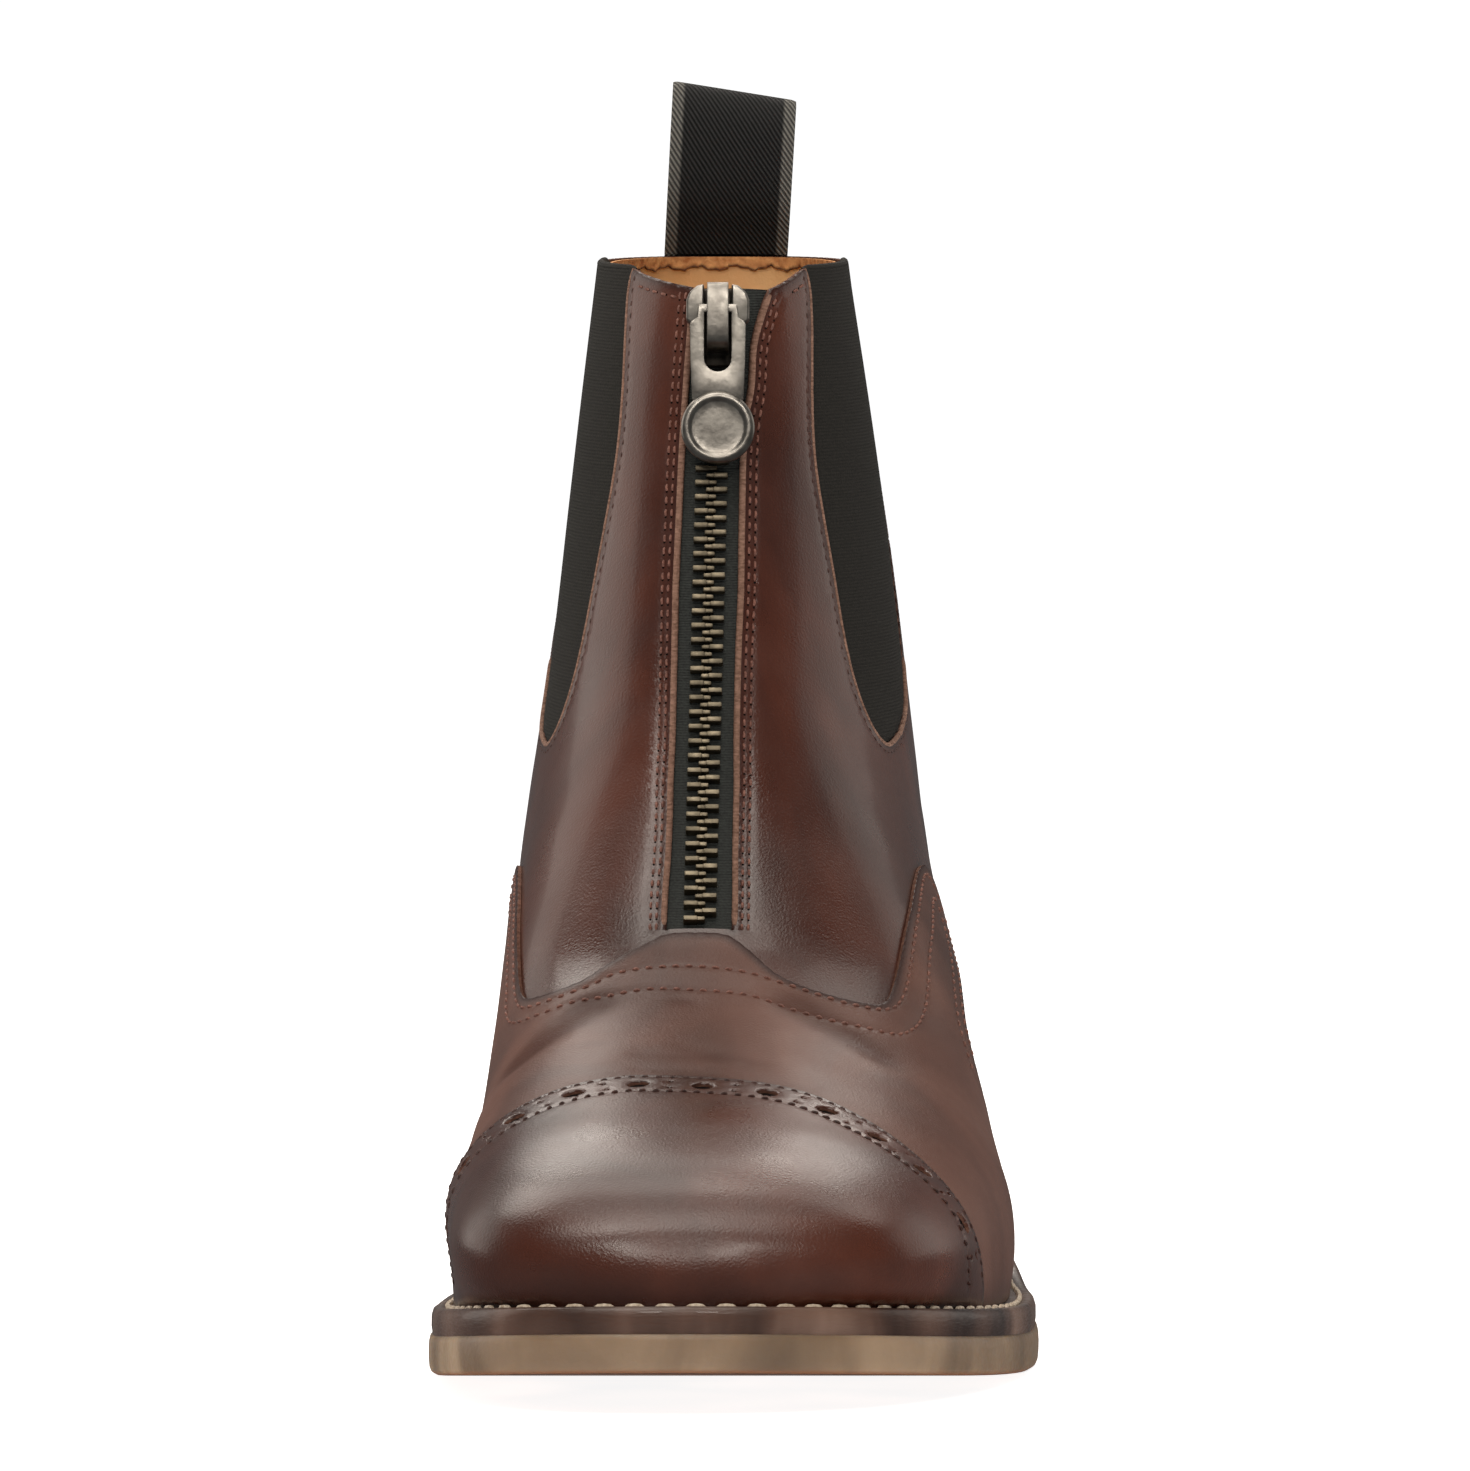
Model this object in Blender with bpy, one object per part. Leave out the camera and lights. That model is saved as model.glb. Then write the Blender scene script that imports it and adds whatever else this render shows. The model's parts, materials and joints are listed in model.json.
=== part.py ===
"""Left jodhpur boot with a front zip and elastic side gores, standing on its sole.

Metres, toe toward -Y, outer side toward +X, +Z up. The sizes and tables below are in millimetres,
and s runs from the toe end of the outsole to its heel end.
"""

import math

import bmesh
import bpy
import numpy as np
from mathutils import Matrix, Vector
from mathutils.geometry import delaunay_2d_cdt

MM = 0.001
NAME = "jodhpur_boot"

# Sole sizes
SOLE_LENGTH = 280.0
SOLE_STATIONS = 40
SEAT_STATIONS = 38
TOE_SPRING = 7.0
SPRING_END = 85.0
SPRING_CURVE = 1.4
HEEL_LIFT = 22.0
ARCH_START = 108.0
ARCH_END = 190.0
OUTSOLE_THICK = 6.5
WELT_THICK = 4.0
INSOLE_THICK = 3.0
SEAT_GAP = 0.3
SEAM_GAP = 0.5
INSOLE_GAP = 1.7
WELT_INSET = 0.4
EDGE_ROUND = 1.2
SIDE_BULGE = 0.5
HEEL_BREAST = 198.0
HEEL_TAPER = 2.0
GROOVE_WIDTH = 3.0
GROOVE_DEPTH = 1.4
FOREFOOT_GROOVES = (34.0, 44.0, 54.0, 64.0, 74.0, 112.0)
HEEL_GROOVES = (212.0, 222.0, 232.0)
BIG = 120.0

# Plan of the outsole: s, inner x, outer x
SOLE_OUTLINE = (
    (0.0, -9.0, -9.0),
    (3.0, -27.0, 8.5),
    (10.0, -37.0, 20.5),
    (25.0, -45.0, 33.0),
    (50.0, -49.2, 43.5),
    (75.0, -50.0, 48.7),
    (95.0, -48.5, 50.0),
    (120.0, -43.0, 48.5),
    (150.0, -35.0, 43.0),
    (180.0, -31.5, 37.5),
    (210.0, -32.0, 35.0),
    (240.0, -33.0, 34.0),
    (255.0, -31.0, 31.8),
    (270.0, -23.3, 23.7),
    (277.0, -13.0, 13.2),
    (280.0, 0.0, 0.0),
)

# How far the upper's foot lies inside the outsole's edge: s, margin
UPPER_MARGIN = (
    (0.0, 6.9),
    (60.0, 6.3),
    (80.0, 5.8),
    (110.0, 5.2),
    (140.0, 4.2),
    (200.0, 3.0),
    (280.0, 2.6),
)

# Sections of the upper, each in a plane from the back or sole to the front:
# s and rise of the back end over the sole seam, s and z of the front end, x at the widest level and
# at the front, half width, widest level as a share of the plane, roundness before and behind it
SECTIONS = (
    (6.9, 0.0, 7.0, 21.5, -9.0, -9.0, 0.0, 0.45, 2.2, 2.2),
    (11.0, 0.0, 9.0, 27.2, -8.2, -9.4, 20.0, 0.42, 2.2, 2.2),
    (20.0, 0.0, 14.5, 32.4, -6.8, -9.8, 32.0, 0.38, 2.25, 2.2),
    (33.0, 0.0, 24.5, 37.2, -5.4, -10.0, 37.6, 0.33, 2.3, 2.2),
    (48.0, 0.0, 39.0, 41.2, -3.6, -10.0, 40.3, 0.3, 2.35, 2.2),
    (64.0, 0.0, 56.0, 44.4, -2.3, -10.0, 42.0, 0.27, 2.35, 2.2),
    (80.0, 0.0, 73.0, 48.0, -0.8, -9.4, 43.9, 0.25, 2.35, 2.2),
    (98.0, 0.0, 90.0, 52.5, 1.0, -8.2, 44.2, 0.26, 2.4, 2.2),
    (118.0, 0.0, 105.0, 57.9, 1.6, -7.0, 42.8, 0.3, 2.35, 2.2),
    (140.0, 0.0, 117.5, 66.0, 1.2, -6.2, 40.8, 0.36, 2.3, 2.2),
    (165.0, 0.0, 125.0, 74.5, 0.7, -5.8, 39.0, 0.42, 2.3, 2.2),
    (190.0, 0.0, 131.0, 83.0, 0.1, -5.4, 37.9, 0.45, 2.25, 2.2),
    (215.0, 0.0, 137.0, 92.0, -0.45, -5.2, 37.05, 0.45, 2.25, 2.2),
    (243.0, 0.0, 142.5, 102.0, -0.8, -5.0, 36.2, 0.45, 2.2, 2.2),
    (266.0, 0.0, 147.5, 112.5, -1.05, -4.8, 35.25, 0.45, 2.2, 2.2),
    (277.4, 0.0, 152.0, 124.0, -1.05, -4.5, 34.25, 0.45, 2.2, 2.3),
    (279.0, 17.0, 156.0, 136.5, -0.9, -4.2, 32.3, 0.45, 2.2, 2.4),
    (278.5, 42.0, 159.5, 149.0, -1.0, -3.9, 30.2, 0.45, 2.2, 2.5),
    (274.0, 74.0, 162.0, 160.0, -1.2, -3.5, 27.8, 0.46, 2.2, 2.6),
    (269.5, 109.0, 164.0, 170.0, -1.6, -3.1, 25.0, 0.47, 2.2, 2.7),
    (267.5, 145.0, 165.5, 178.3, -2.1, -2.8, 22.0, 0.48, 2.2, 2.7),
)
HEEL_ROW = 15
COLLAR_ROW = len(SECTIONS) - 1
COLLAR_BACK_X = -1.4
ROWS_PER_SECTION = 2
AROUND = 26
ROUND_PER_SECTION = 7.6
STEP = 0.02

# Upper and its overlays
WALL = 2.2
OVERLAY_GAP = 0.3
VAMP_FOOT = 0.5
VAMP_TOP = 1.4
CAP_TOP = 2.5
CAP_LINE = 66.0
CAP_SKEW = 0.17
CAP_LEAN = 0.05
# Vamp outline as section number and place round it:
# up the inner wing, across the throat, down the outer wing
VAMP_FRONT = 4.5
VAMP_EDGE = (
    (8.80, 0.0),
    (9.00, 0.130),
    (9.70, 0.188),
    (10.90, 0.200),
    (11.80, 0.208),
    (12.50, 0.232),
    (12.70, 0.258),
    (12.45, 0.276),
    (11.70, 0.284),
    (10.80, 0.286),
    (9.90, 0.290),
    (9.25, 0.298),
    (8.93, 0.314),
    (8.74, 0.350),
    (8.70, 0.390),
    (8.85, 0.418),
    (9.13, 0.456),
    (9.30, 0.476),
    (9.32, 0.500),
    (9.28, 0.520),
    (9.02, 0.539),
    (8.68, 0.562),
    (8.54, 0.588),
    (8.50, 0.620),
    (8.58, 0.655),
    (8.78, 0.677),
    (9.30, 0.687),
    (9.97, 0.692),
    (10.72, 0.696),
    (11.52, 0.703),
    (12.15, 0.713),
    (12.48, 0.726),
    (12.48, 0.748),
    (12.05, 0.774),
    (11.20, 0.792),
    (10.20, 0.802),
    (9.60, 0.815),
    (9.00, 0.870),
    (8.80, 1.0),
)

# Side gores: outline in side view, from the collar down the front edge and up the rear edge
GORE_EDGE = (
    (181.0, 200.0),
    (177.0, 174.0),
    (172.0, 158.0),
    (169.5, 145.0),
    (168.0, 127.0),
    (166.5, 111.0),
    (168.0, 102.0),
    (173.0, 98.0),
    (181.0, 98.2),
    (192.0, 100.2),
    (203.0, 104.5),
    (214.0, 114.0),
    (224.0, 131.0),
    (231.0, 150.0),
    (236.0, 172.0),
    (239.0, 200.0),
)
GORE_INNER = -1.7
GORE_OUTER = -0.3

# Zip: slot outline in front view, then the tape, teeth, slider and pull
ZIP_SLOT = (
    (-11.5, 69.6),
    (-10.5, 88.8),
    (-8.8, 145.0),
    (-8.9, 200.0),
    (6.2, 200.0),
    (5.9, 177.5),
    (4.9, 172.3),
    (3.0, 166.0),
    (2.5, 158.6),
    (1.0, 145.0),
    (-0.2, 88.8),
    (-0.5, 69.6),
)
# Collar's dip at the zip in front view
COLLAR_DIP = (
    (-18.5, 178.5),
    (-8.9, 175.2),
    (5.9, 175.2),
    (11.2, 178.5),
    (11.2, 200.0),
    (-18.5, 200.0),
)
SLOT_FRONT = 60.0
SLOT_REAR = 215.0
TAPE_INNER = -1.6
TAPE_OUTER = -0.7
TOOTH_PITCH = 2.4
TOOTH_REACH = 2.9
CHAIN_CORE = 0.8
CHAIN_INNER = -0.4
CHAIN_OUTER = 0.9
CHAIN_FOOT = (-5.9, 71.8)
CHAIN_HEAD = (-3.5, 162.7)
SLIDER_AT = (-2.9, 171.2)
SLIDER_BODY = ((-5.4, 5.3), (-5.4, 0.8), (-3.4, -7.6), (3.4, -7.6), (5.4, 0.8), (5.4, 5.3))
SLIDER_INNER = -0.4
SLIDER_OUTER = 3.0
BRIDGE_WIDTH = 3.7
BRIDGE_TOP = 4.3
BRIDGE_FOOT = -7.4
BRIDGE_RISE = 3.5
BRIDGE_THICK = 1.3
PULL_AXIS = 4.0
PULL_THICK = 1.2
PULL_HALF = 4.7
SLOT_HALF = 2.3
SLOT_LENGTH = 10.4
TAB_LENGTH = 15.0
DISC_DROP = 19.8
DISC_RADIUS = 6.2
DISC_THICK = 1.8
DISC_SIDES = 24

# Pull loop: distance behind the collar's back edge and height along the webbing's middle line,
# and how far it follows the collar's curve there
LOOP_PATH = (
    (-1.1, 178.8, 1.0),
    (-2.3, 183.0, 0.95),
    (-4.4, 188.3, 0.8),
    (-5.2, 194.3, 0.45),
    (-4.7, 201.0, 0.3),
    (-2.6, 205.2, 0.25),
    (0.3, 206.5, 0.25),
    (3.2, 205.2, 0.25),
    (5.2, 201.0, 0.3),
    (5.2, 194.3, 0.45),
    (3.6, 186.3, 0.7),
    (1.6, 179.0, 1.0),
    (1.6, 172.0, 1.0),
    (2.1, 164.0, 1.0),
)
LOOP_WIDTH = 21.6
LOOP_THICK = 1.5
LOOP_COLUMNS = 7
LOOP_SLANT = 0.16
LOOP_LEAN = 0.055
LOOP_X = -1.6


def smooth(table, at, column, flat_start=False):
    """Monotone cubic through one column of a table whose first column is the place."""
    places = np.array([row[0] for row in table])
    values = np.array([row[column] for row in table])
    slopes = np.diff(values) / np.diff(places)
    turns = [2 * a * b / (a + b) if a * b > 0 else 0.0 for a, b in zip(slopes, slopes[1:])]
    tangents = np.array([0.0 if flat_start else slopes[0], *turns, slopes[-1]])
    at = np.asarray(at, float)
    k = np.clip(np.searchsorted(places, at, "right") - 1, 0, len(places) - 2)
    span = places[k + 1] - places[k]
    t = (at - places[k]) / span
    rise = (3 - 2 * t) * t * t
    ends = values[k] * (1 - rise) + values[k + 1] * rise
    return ends + span * t * (1 - t) * (tangents[k] * (1 - t) - tangents[k + 1] * t)


def lift(s):
    """Height of the outsole's underside over the floor."""
    toe = TOE_SPRING * (np.clip(SPRING_END - s, 0, None) / SPRING_END) ** SPRING_CURVE
    t = np.clip((s - ARCH_START) / (ARCH_END - ARCH_START), 0, 1)
    return toe + HEEL_LIFT * t * t * (3 - 2 * t)


WELT_FOOT = OUTSOLE_THICK + SEAT_GAP
SEAM_HEIGHT = WELT_FOOT + WELT_THICK + SEAM_GAP


def seam_height(s):
    """Height of the upper's lower edge."""
    return SEAM_HEIGHT + lift(s)


def angle_of(s):
    return np.arccos(np.clip(1 - 2 * np.asarray(s, float) / SOLE_LENGTH, -1, 1))


OUTLINE_BY_ANGLE = tuple((float(angle_of(s)), inner, outer) for s, inner, outer in SOLE_OUTLINE)


def sole_ring(inset, stations):
    """Points (x, s) round the sole: toe, inner side, heel, outer side. inset is a size or a table."""
    angles = np.linspace(0, math.pi, stations + 1)
    sides = []
    for column, outward in ((1, -1), (2, 1)):
        at = np.clip(np.stack([angles - STEP, angles, angles + STEP]), 0, math.pi)
        x = smooth(OUTLINE_BY_ANGLE, at, column)
        s = SOLE_LENGTH / 2 * (1 - np.cos(at))
        dx, ds = x[2] - x[0], s[2] - s[0]
        dx[0], ds[0], dx[-1], ds[-1] = outward, 0.0, -outward, 0.0
        size = np.hypot(dx, ds)
        depth = inset if np.isscalar(inset) else smooth(inset, s[1], 1)
        turn = outward * depth / size
        sides.append(np.stack([x[1] - ds * turn, s[1] + dx * turn], 1))
    return np.concatenate([sides[0], sides[1][-2:0:-1]])


def margin_seam():
    """The upper's sole seam as s, inner x and outer x."""
    stations = 400
    ring = sole_ring(UPPER_MARGIN, stations)
    inner = ring[: stations + 1]
    outer = np.concatenate([ring[:1], ring[: stations - 1 : -1]])
    return inner, outer


SEAM_INNER, SEAM_OUTER = margin_seam()
SEAM_TOE, SEAM_HEEL = SEAM_INNER[0, 1], SEAM_INNER[-1, 1]


def seam_at(s):
    """Middle and half width of the sole seam."""
    s = np.clip(s, SEAM_TOE, SEAM_HEEL)
    inner = np.interp(s, SEAM_INNER[:, 1], SEAM_INNER[:, 0])
    outer = np.interp(s, SEAM_OUTER[:, 1], SEAM_OUTER[:, 0])
    return (inner + outer) / 2, (outer - inner) / 2


NUMBERED = tuple((float(n), *row) for n, row in enumerate(SECTIONS))


def surface(u, v):
    """Outer face of the upper: u counts sections, v runs 0 to 1 from inner side to outer side."""
    u, v = np.broadcast_arrays(np.asarray(u, float), np.asarray(v, float))
    s_back = np.clip(smooth(NUMBERED, u, 1, True), SEAM_TOE, None)
    s_back = np.where(u < HEEL_ROW, np.minimum(s_back, SEAM_HEEL), s_back)
    rise = smooth(NUMBERED, u, 2)
    s_front = smooth(NUMBERED, u, 3, True)
    z_front, x_belly, x_front, half, belly, front_power, back_power = (
        smooth(NUMBERED, u, column) for column in range(4, 11)
    )
    seam_x, seam_half = seam_at(s_back)
    seam_half = np.where(u >= HEEL_ROW, 0.0, seam_half)
    half = np.maximum(half, seam_half * 1.002)
    z_back = seam_height(np.minimum(s_back, SEAM_HEEL)) + rise
    x_back = seam_x + COLLAR_BACK_X * rise / SECTIONS[COLLAR_ROW][1]
    safe = np.maximum(half, 1e-9)
    close = (1 - np.clip(seam_half / safe, 0, 1) ** back_power) ** (1 / back_power)
    last = np.arcsin(np.clip(close, 1e-6, 1) ** (back_power / 2))
    length = np.hypot(s_front - s_back, z_front - z_back)
    low_arc = np.hypot(belly * length, half - seam_half)
    high_arc = 1.1 * np.hypot((1 - belly) * length, half)
    share = low_arc / (low_arc + high_arc)
    t = np.abs(2 * v - 1)
    low = t > 1 - share
    down = np.clip((t - 1 + share) / share, 0, 1) * last
    up = np.clip(1 - t / (1 - share), 0, 1) * math.pi / 2
    q = np.sin(down) ** (2 / back_power) / np.clip(close, 1e-6, 1)
    h = np.where(low, belly * (1 - q), belly + (1 - belly) * np.sin(up) ** (2 / front_power))
    low_width = np.abs(np.cos(down)) ** (2 / back_power)
    high_width = np.abs(np.cos(up)) ** (2 / front_power)
    width = half * np.where(low, low_width, high_width)
    width = np.where(t < 1e-9, 0.0, width)
    width = np.where((t > 1 - 1e-9) & (u >= HEEL_ROW), 0.0, width)
    middle = (
        x_back * (h - belly) * (h - 1) / belly
        - x_belly * h * (h - 1) / (belly * (1 - belly))
        + x_front * h * (h - belly) / (1 - belly)
    )
    x = middle + np.where(v < 0.5, -1, 1) * width
    return np.stack([x, s_back + (s_front - s_back) * h, z_back + (z_front - z_back) * h], -1)


def normals(u, v):
    """Unit outward directions of the upper's surface."""
    u, v = np.broadcast_arrays(np.asarray(u, float), np.asarray(v, float))
    u = np.clip(u, 2 * STEP, COLLAR_ROW - STEP)
    inside = np.clip(v, STEP / 4, 1 - STEP / 4)
    along = surface(u + STEP, inside) - surface(u - STEP, inside)
    edge = STEP / 4
    across = surface(u, np.clip(v + edge, 0, 1)) - surface(u, np.clip(v - edge, 0, 1))
    out = np.cross(across, along)
    return out / np.linalg.norm(out, axis=-1, keepdims=True)


def offset_points(us, vs, depth):
    """Surface points moved outward by depth, with the lower edge kept on the sole seam."""
    us, vs = np.asarray(us, float), np.asarray(vs, float)
    points, out = surface(us, vs), normals(us, vs)
    edge = (vs <= 0) | (vs >= 1)
    joined = (us == 0) | (edge & (us >= HEEL_ROW))
    mean = out + normals(us, 1 - vs)
    mean[:, 0] = 0
    out[joined] = (mean / np.linalg.norm(mean, axis=-1, keepdims=True))[joined]
    moved = points + out * depth
    low = edge & (us < HEEL_ROW)
    moved[low, 2] = seam_height(moved[low, 1])
    return moved


def to_world(points):
    """Millimetres in (x, s, z) to metres in the part's frame."""
    points = np.asarray(points, float).reshape(-1, 3)
    return [Vector((x * MM, (s - SOLE_LENGTH / 2) * MM, z * MM)) for x, s, z in points]


def clear_scene():
    for obj in list(bpy.data.objects):
        bpy.data.objects.remove(obj, do_unlink=True)


def new_collection(name):
    collection = bpy.data.collections.new(name)
    bpy.context.scene.collection.children.link(collection)
    return collection


def new_material(name, colour, roughness, metallic=0.0):
    material = bpy.data.materials.new(name)
    material.use_nodes = True
    shader = material.node_tree.nodes["Principled BSDF"]
    shader.inputs["Base Color"].default_value = (*colour, 1.0)
    shader.inputs["Roughness"].default_value = roughness
    shader.inputs["Metallic"].default_value = metallic
    return material


def new_object(name, points, faces, collection, material=None):
    """Mesh object with outward faces from points in (x, s, z) and faces of indices."""
    mesh = bpy.data.meshes.new(name)
    mesh.from_pydata(to_world(points), [], faces)
    work = bmesh.new()
    work.from_mesh(mesh)
    bmesh.ops.recalc_face_normals(work, faces=work.faces)
    work.to_mesh(mesh)
    work.free()
    obj = bpy.data.objects.new(name, mesh)
    collection.objects.link(obj)
    if material:
        mesh.materials.append(material)
    return obj


def cutter(name, points, faces):
    obj = new_object(name, points, faces, cutters)
    obj.hide_render = True
    obj.display_type = "WIRE"
    return obj


def boolean(obj, other, operation):
    modifier = obj.modifiers.new(f"{operation.lower()} {other.name}", "BOOLEAN")
    modifier.operation = operation
    modifier.solver = "EXACT"
    modifier.object = other


def prism(outline, place):
    """Points and faces of an outline swept between two ends; place maps (a, b, end) to (x, s, z)."""
    count = len(outline)
    points = [place(a, b, end) for end in (0, 1) for a, b in outline]
    faces = [tuple(range(count)), tuple(range(count, 2 * count))]
    faces += [(i, (i + 1) % count, count + (i + 1) % count, count + i) for i in range(count)]
    return points, faces


def rounded(path, closed=False, steps=3):
    """Smooth line through the points of a path."""
    points = np.array(path, float)
    last = len(points) - 1
    line = []
    for k in range(len(points) if closed else last):
        if closed:
            a, b, c, d = (points[(k + shift) % len(points)] for shift in (-1, 0, 1, 2))
        else:
            a, b, c, d = (points[min(max(k + shift, 0), last)] for shift in (-1, 0, 1, 2))
        slope, bend, twist = c - a, 2 * a - 5 * b + 4 * c - d, 3 * b - a - 3 * c + d
        for t in np.arange(steps) / steps:
            line.append(b + (slope * t + bend * t**2 + twist * t**3) / 2)
    return line if closed else [*line, points[-1]]


def grown(outline, size):
    """Closed outline moved outward by a size along its corner directions."""
    points = np.array(outline, float)
    before, after = np.roll(points, 1, 0) - points, np.roll(points, -1, 0) - points
    area = np.sum(points[:, 0] * np.roll(points[:, 1], -1) - points[:, 1] * np.roll(points[:, 0], -1))
    turn = 1 if area > 0 else -1
    first = np.stack([-before[:, 1], before[:, 0]], 1) / np.linalg.norm(before, axis=1, keepdims=True)
    second = np.stack([after[:, 1], -after[:, 0]], 1) / np.linalg.norm(after, axis=1, keepdims=True)
    mean = first + second
    mean /= np.sum(mean * first, axis=1, keepdims=True)
    return points + turn * size * mean


def solid_between(name, us, vs, faces, depths, material):
    """Solid between two offsets of the upper's surface, from triangles over places (u, v)."""
    used = {}
    for face in faces:
        for a, b in zip(face, face[1:] + face[:1]):
            used[frozenset((a, b))] = used.get(frozenset((a, b)), []) + [(a, b)]
    rim = [edges[0] for edges in used.values() if len(edges) == 1]
    count = len(us)
    points = np.concatenate([offset_points(us, vs, depth) for depth in depths])
    solid = list(faces)
    solid += [tuple(n + count for n in reversed(face)) for face in faces]
    solid += [(b, a, a + count, b + count) for a, b in rim]
    return new_object(name, points, solid, parts, material)


def shell(name, us, vs, inner, outer, material):
    """Solid over a grid of sections and places round them, with coinciding places joined."""
    u, v = (grid.reshape(-1) for grid in np.meshgrid(us, vs, indexing="ij"))
    base = np.round(offset_points(u, v, 0.0), 5)
    _, first, index = np.unique(base, axis=0, return_index=True, return_inverse=True)
    index = index.reshape(len(us), len(vs))
    faces = []
    for i in range(len(us) - 1):
        for j in range(len(vs) - 1):
            a, d = index[i, j : j + 2].tolist()
            b, c = index[i + 1, j : j + 2].tolist()
            faces += [(a, b, c), (a, c, d)] if vs[j] < 0.5 else [(a, b, d), (b, c, d)]
    return solid_between(name, u[first], v[first], faces, (outer, inner), material)


def patch(name, outline, inner, outer, material):
    """Solid over the inside of an outline of places (u, v) on the upper's surface."""
    edge = np.array(outline) * (1, ROUND_PER_SECTION)
    step = 1 / ROWS_PER_SECTION
    rows = np.arange(edge[:, 0].min(), edge[:, 0].max(), step)
    columns = np.linspace(0, ROUND_PER_SECTION, AROUND + 1)
    grid = np.stack(np.meshgrid(rows, columns, indexing="ij"), -1).reshape(-1, 2)
    after = np.roll(edge, -1, 0)
    inside = []
    for place in grid:
        crossing = (edge[:, 1] > place[1]) != (after[:, 1] > place[1])
        run = np.where(crossing, after[:, 1] - edge[:, 1], 1.0)
        reach = edge[:, 0] + (place[1] - edge[:, 1]) / run * (after[:, 0] - edge[:, 0])
        odd = np.count_nonzero(crossing & (reach > place[0])) % 2
        if odd and np.linalg.norm(edge - place, axis=1).min() > step / 4:
            inside.append(place)
    count = len(edge)
    places = [Vector(place) for place in (*edge, *inside)]
    loop = [(n, (n + 1) % count) for n in range(count)]
    made, _, faces, *_ = delaunay_2d_cdt(places, loop, [], 1, 1e-6)
    us = np.array([place.x for place in made])
    vs = np.clip([place.y / ROUND_PER_SECTION for place in made], 0, 1)
    return solid_between(name, us, vs, [tuple(face) for face in faces], (outer, inner), material)


def section_steps(start, end, per_section=ROWS_PER_SECTION):
    return np.linspace(start, end, round((end - start) * per_section) + 1)


def plate(name, levels, stations, material):
    """Sole plate from levels of (inset, height over the lifted floor), lowest first."""
    points, count = [], 2 * stations
    for inset, height in levels:
        ring = sole_ring(inset, stations)
        points += [(x, s, height + lift(s)) for x, s in ring]
    faces = []
    for level in range(len(levels) - 1):
        a, b = level * count, (level + 1) * count
        faces += [(a + i, a + (i + 1) % count, b + (i + 1) % count, b + i) for i in range(count)]
    for start in (0, (len(levels) - 1) * count):
        for i in range(stations):
            strip = (i, i + 1, (count - i - 1) % count, (count - i) % count)
            faces.append(tuple(start + n for n in dict.fromkeys(strip)))
    return new_object(name, points, faces, parts, material)


def grooves(obj, places, under):
    """Cuts cross grooves in the underside of an object."""
    for number, s in enumerate(places, 1):
        low, high = s - GROOVE_WIDTH / 2, s + GROOVE_WIDTH / 2
        floor = under(s) + GROOVE_DEPTH
        outline = ((low, -BIG), (high, -BIG), (high, floor), (low, floor))
        tool = cutter(
            f"{obj.name}_groove_{number}", *prism(outline, lambda a, b, end: ((2 * end - 1) * BIG, a, b))
        )
        boolean(obj, tool, "DIFFERENCE")


def build_sole():
    top = OUTSOLE_THICK
    outsole = plate(
        "outsole",
        ((EDGE_ROUND, 0.0), (0.0, EDGE_ROUND), (-SIDE_BULGE / 2, top / 2), (0.0, top)),
        SOLE_STATIONS,
        new_material("amber rubber", (0.26, 0.15, 0.07), 0.35),
    )
    grooves(outsole, FOREFOOT_GROOVES, lift)
    welt_top = WELT_FOOT + WELT_THICK
    plate(
        "welt",
        ((WELT_INSET, WELT_FOOT), (WELT_INSET, welt_top - WELT_INSET), (2 * WELT_INSET, welt_top)),
        SEAT_STATIONS,
        new_material("welt leather", (0.12, 0.06, 0.04), 0.5),
    )
    inset = tuple((s, margin + WALL + INSOLE_GAP) for s, margin in UPPER_MARGIN)
    plate(
        "insole",
        ((inset, SEAM_HEIGHT), (inset, SEAM_HEIGHT + INSOLE_THICK)),
        SEAT_STATIONS,
        new_material("insole board", (0.55, 0.33, 0.15), 0.7),
    )


def build_heel():
    ring = [(x, s) for x, s in sole_ring(0.0, SOLE_STATIONS) if s > HEEL_BREAST + 1]
    inner, outer = (float(smooth(SOLE_OUTLINE, HEEL_BREAST, column)) for column in (1, 2))
    outline = [(inner, HEEL_BREAST), *ring, (outer, HEEL_BREAST)]
    count, points = len(outline), []
    levels = ((HEEL_TAPER, 0.0), (HEEL_TAPER - EDGE_ROUND, EDGE_ROUND), (0.0, HEEL_LIFT - SEAT_GAP))
    for inset, z in levels:
        points += [(x, s, z) for x, s in grown(outline, -inset)]
    faces = [tuple(range(count)), tuple(range(2 * count, 3 * count))]
    for start in (0, count):
        faces += [
            (start + i, start + (i + 1) % count, start + count + (i + 1) % count, start + count + i)
            for i in range(count)
        ]
    heel = new_object("heel", points, faces, parts, new_material("heel stack", (0.09, 0.05, 0.03), 0.45))
    grooves(heel, HEEL_GROOVES, lambda s: 0.0)


def side_tool(name, outline, near, far, skew=0.0):
    """Cutter from a side-view outline, between two places in x; skew turns it toward the toe."""
    return cutter(
        name, *prism(outline, lambda a, b, end: ((near, far)[end], a - skew * (near, far)[end], b))
    )


def slot_tool(name, outline):
    return cutter(name, *prism(outline, lambda a, b, end: (a, (SLOT_FRONT, SLOT_REAR)[end], b)))


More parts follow.
